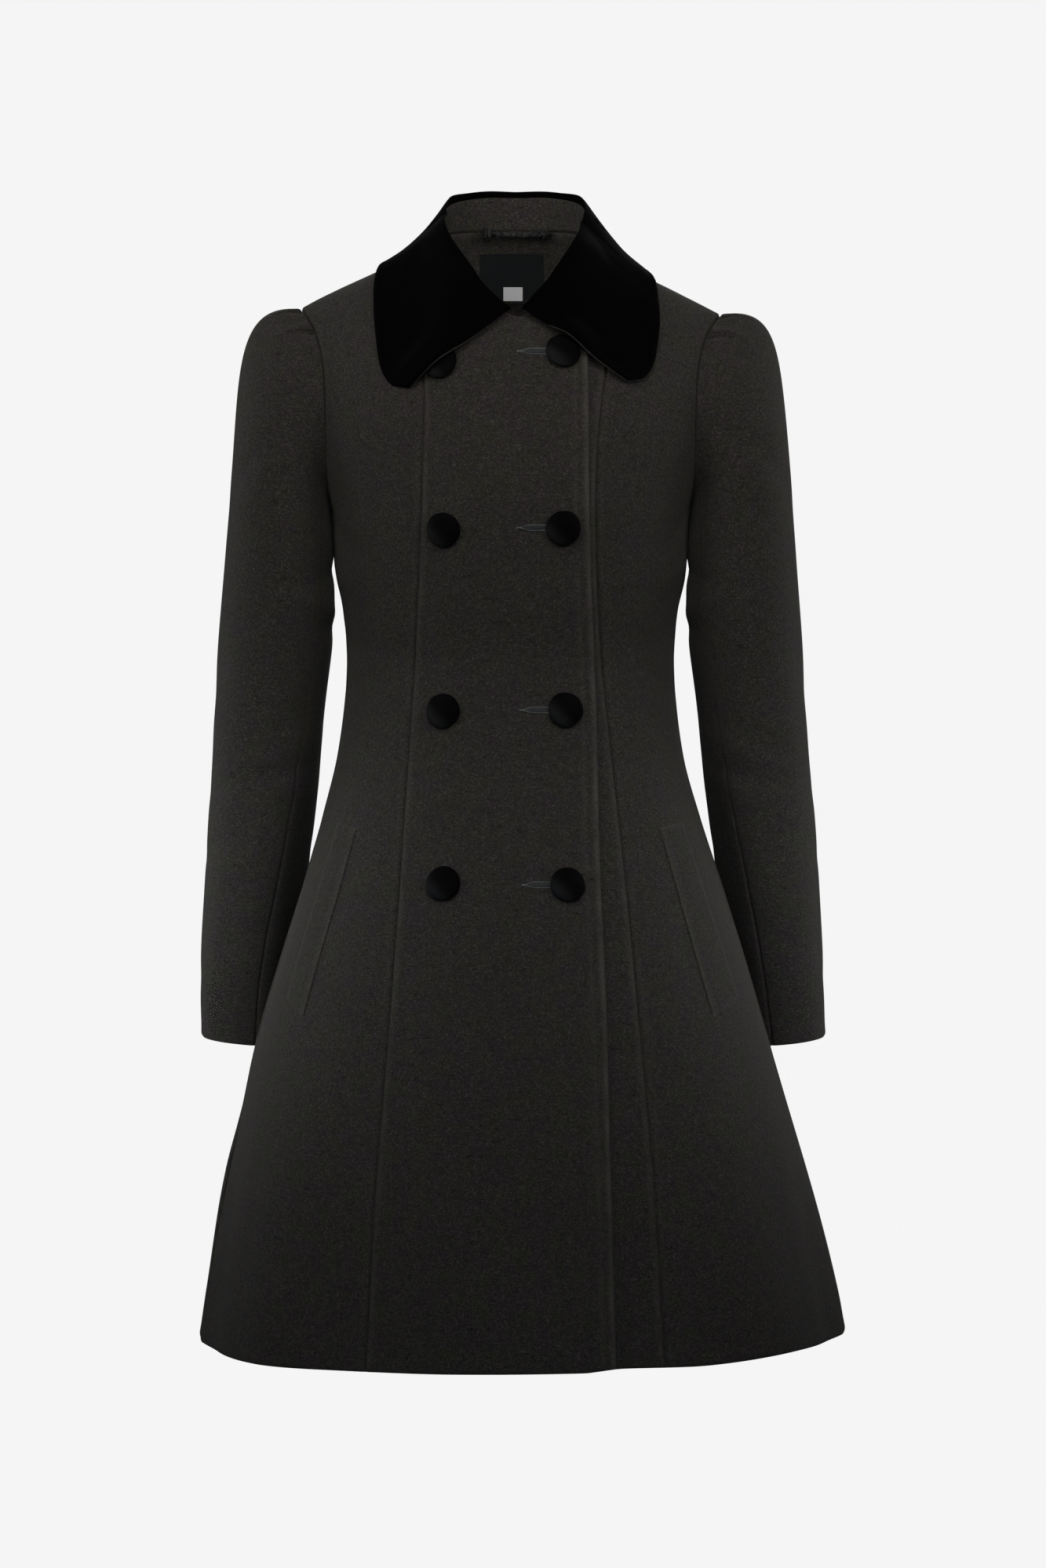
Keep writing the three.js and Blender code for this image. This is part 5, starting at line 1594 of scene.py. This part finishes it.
# Lighter colour along the welt's front and ends: painted highlight on their ridges, with pressed wear
WELT_FRONT_WEAR_AND_HIGHLIGHT, WELT_END_WEAR_AND_HIGHLIGHT = ((0.55, 1.6, 1.5),), ((0.2, 1.5, 1.5),)


def add_welt(name):
    side, top, foot = WELTS[name]
    v = close_at_ends(60)[:, None]
    u = np.concatenate([[0, 0.04, 0.09], np.linspace(0.15, 0.85, 14), [0.91, 0.96, 1]])[None, :]
    angle = side * lerp(lerp(top[0], top[1], u), lerp(foot[0], foot[1], u), v) * DEG
    z = lerp(lerp(*WELT_TOP_Z, u), lerp(*WELT_FOOT_Z, u), v)
    points = body_surface(angle, z)
    normals = body_normal(points)
    relief = cloth_relief(angle, z)
    across, along = distances(points, 1), distances(points, 0)
    front, back = across, across[:, -1:] - across
    ends = np.minimum(along, along[-1:] - along)
    lift = relief + SEAM_GAP + WELT_SHOWS
    detail = ridges(back, WELT_BACK) + ridges(ends, WELT_ENDS) + ridges(front, WELT_FRONT)
    outer = points + normals * (lift + detail)[..., None]
    inner = points + normals * (relief + SEAM_GAP * 0.5)[..., None]
    # Painted highlight on the welt's front ridge and ends, with pressed wear
    wear_and_highlight = ridges(front, WELT_FRONT_WEAR_AND_HIGHLIGHT) + ridges(ends, WELT_END_WEAR_AND_HIGHLIGHT)
    obj = add_wall(f"pocket_welt_{name}", outer, inner, WOOL_CLOTH, wear_and_highlight)
    settle(obj, f"pocket_welt_{name}")


for name in WELTS:
    add_welt(name)


# Inside the back neck: the facing, the label, the size tab and the hanger loop
FACING_INSIDE = WOOL + SEAM_GAP + FACING
FACING_DEPTH, FACING_EDGE = 82, ((-0.6, 0, 1.0), (0.25, 4.5, 2.4))
PATCH_COLUMNS, PATCH_ROWS = 28, 14


def add_facing():
    rows = np.nonzero(BACK_CENTRE["from_top"].mean(axis=1) < FACING_DEPTH)[0]
    grid = np.s_[rows[0]:, 6:-6]
    points, normals = BACK_CENTRE["points"][grid], BACK_CENTRE["normals"][grid]
    relief = cloth_relief(BACK_CENTRE["angle"][grid], BACK_CENTRE["z"][grid])
    top = distances(points, 0)
    top = top[-1:] - top
    detail = ridges(top, FACING_EDGE)
    near = points + normals * (relief - WOOL - SEAM_GAP - FACING - detail)[..., None]
    far = points + normals * (relief - WOOL - SEAM_GAP)[..., None]
    settle(add_wall("back_neck_facing", near, far, WOOL_FACING_PAINTED_LIGHTER), "back_neck_facing")


def back_inside(x, z, depth):
    """Places inside the back at x and a level, this deep below its outside, and their normals."""
    angle = angle_of(x, z, True)
    point = body_surface(angle, z)
    normal = body_normal(point)
    relief = cloth_relief(angle, z)
    return point + normal * (relief - depth)[..., None], normal


def add_patch(name, x, z, width, height, material, depth=FACING_INSIDE + 0.35):
    """A small flat piece sewn to the facing."""
    u = np.linspace(-0.5, 0.5, PATCH_COLUMNS)[None, :]
    v = np.linspace(0.5, -0.5, PATCH_ROWS)[:, None]
    px, pz = np.broadcast_arrays(x + width * u, z + height * v)
    points, normals = back_inside(px, pz, depth)
    edge = np.minimum(distances(points, 1), distances(points, 1)[:, ::-1])
    near = points - normals * (LABEL * (1 - 0.4 * bump(edge, 0.8)))[..., None]
    settle(add_wall(name, near, points, material), name)


# The loop of twisted cord, and the threads that tack its ends down, their reach about each end
LOOP_HALF, LOOP_Z, LOOP_SAG, LOOP_END_Y, LOOP_MIDDLE_Y, LOOP_RADIUS = 23.5, 18.5, 1.2, 46, 49, 2.8
LOOP_TWIST, STRAND_AWAY, STRAND_RADIUS = 34, 0.48, 0.56
TACKS, TACK_NEAR, TACK_FAR, TACK_FRONT, TACK_RADIUS, TACK_HEIGHT = 18, 3.8, 6.8, -4.6, 0.85, 1.8


def add_hanger_loop():
    t = np.linspace(-1, 1, 150)
    middle = np.stack([
        NECK_CENTRE_X + LOOP_HALF * t,
        lerp(LOOP_MIDDLE_Y, LOOP_END_Y, t * t),
        LOOP_Z - LOOP_SAG * (1 - t * t),
    ], -1)
    shapes = []
    for strand in range(2):
        turn = t * LOOP_TWIST + strand * np.pi
        offset = np.stack([0 * t, np.cos(turn), np.sin(turn)], -1) * LOOP_RADIUS * STRAND_AWAY
        shapes.append(tube(middle + offset, LOOP_RADIUS * STRAND_RADIUS, 8))
    rng = np.random.default_rng(8)
    for end in (0, -1):
        hub = middle[end]
        start = hub + np.array([0, TACK_FRONT, 0])
        for i in range(TACKS):
            turn = i * 2 * np.pi / TACKS + rng.uniform(-0.25, 0.25)
            reach = rng.uniform(TACK_NEAR, TACK_FAR)
            tip = hub + np.array([reach * math.cos(turn), rng.uniform(-3.2, -1.2), reach * math.sin(turn)])
            shapes.append(stitch(start, tip, np.array([0, -1, 0]), TACK_RADIUS, TACK_HEIGHT))
    obj = add_mesh("hanger_loop", *join_shapes(shapes), CORD_CLOTH)
    settle(obj, "hanger_loop")


add_facing()
add_patch("neck_label", 0.6, -12.5, 54, 36, LABEL_CLOTH)
add_patch("size_tab", 1.6, -26, 16, 10.8, TAB_CLOTH, FACING_INSIDE + 1.1)
add_hanger_loop()
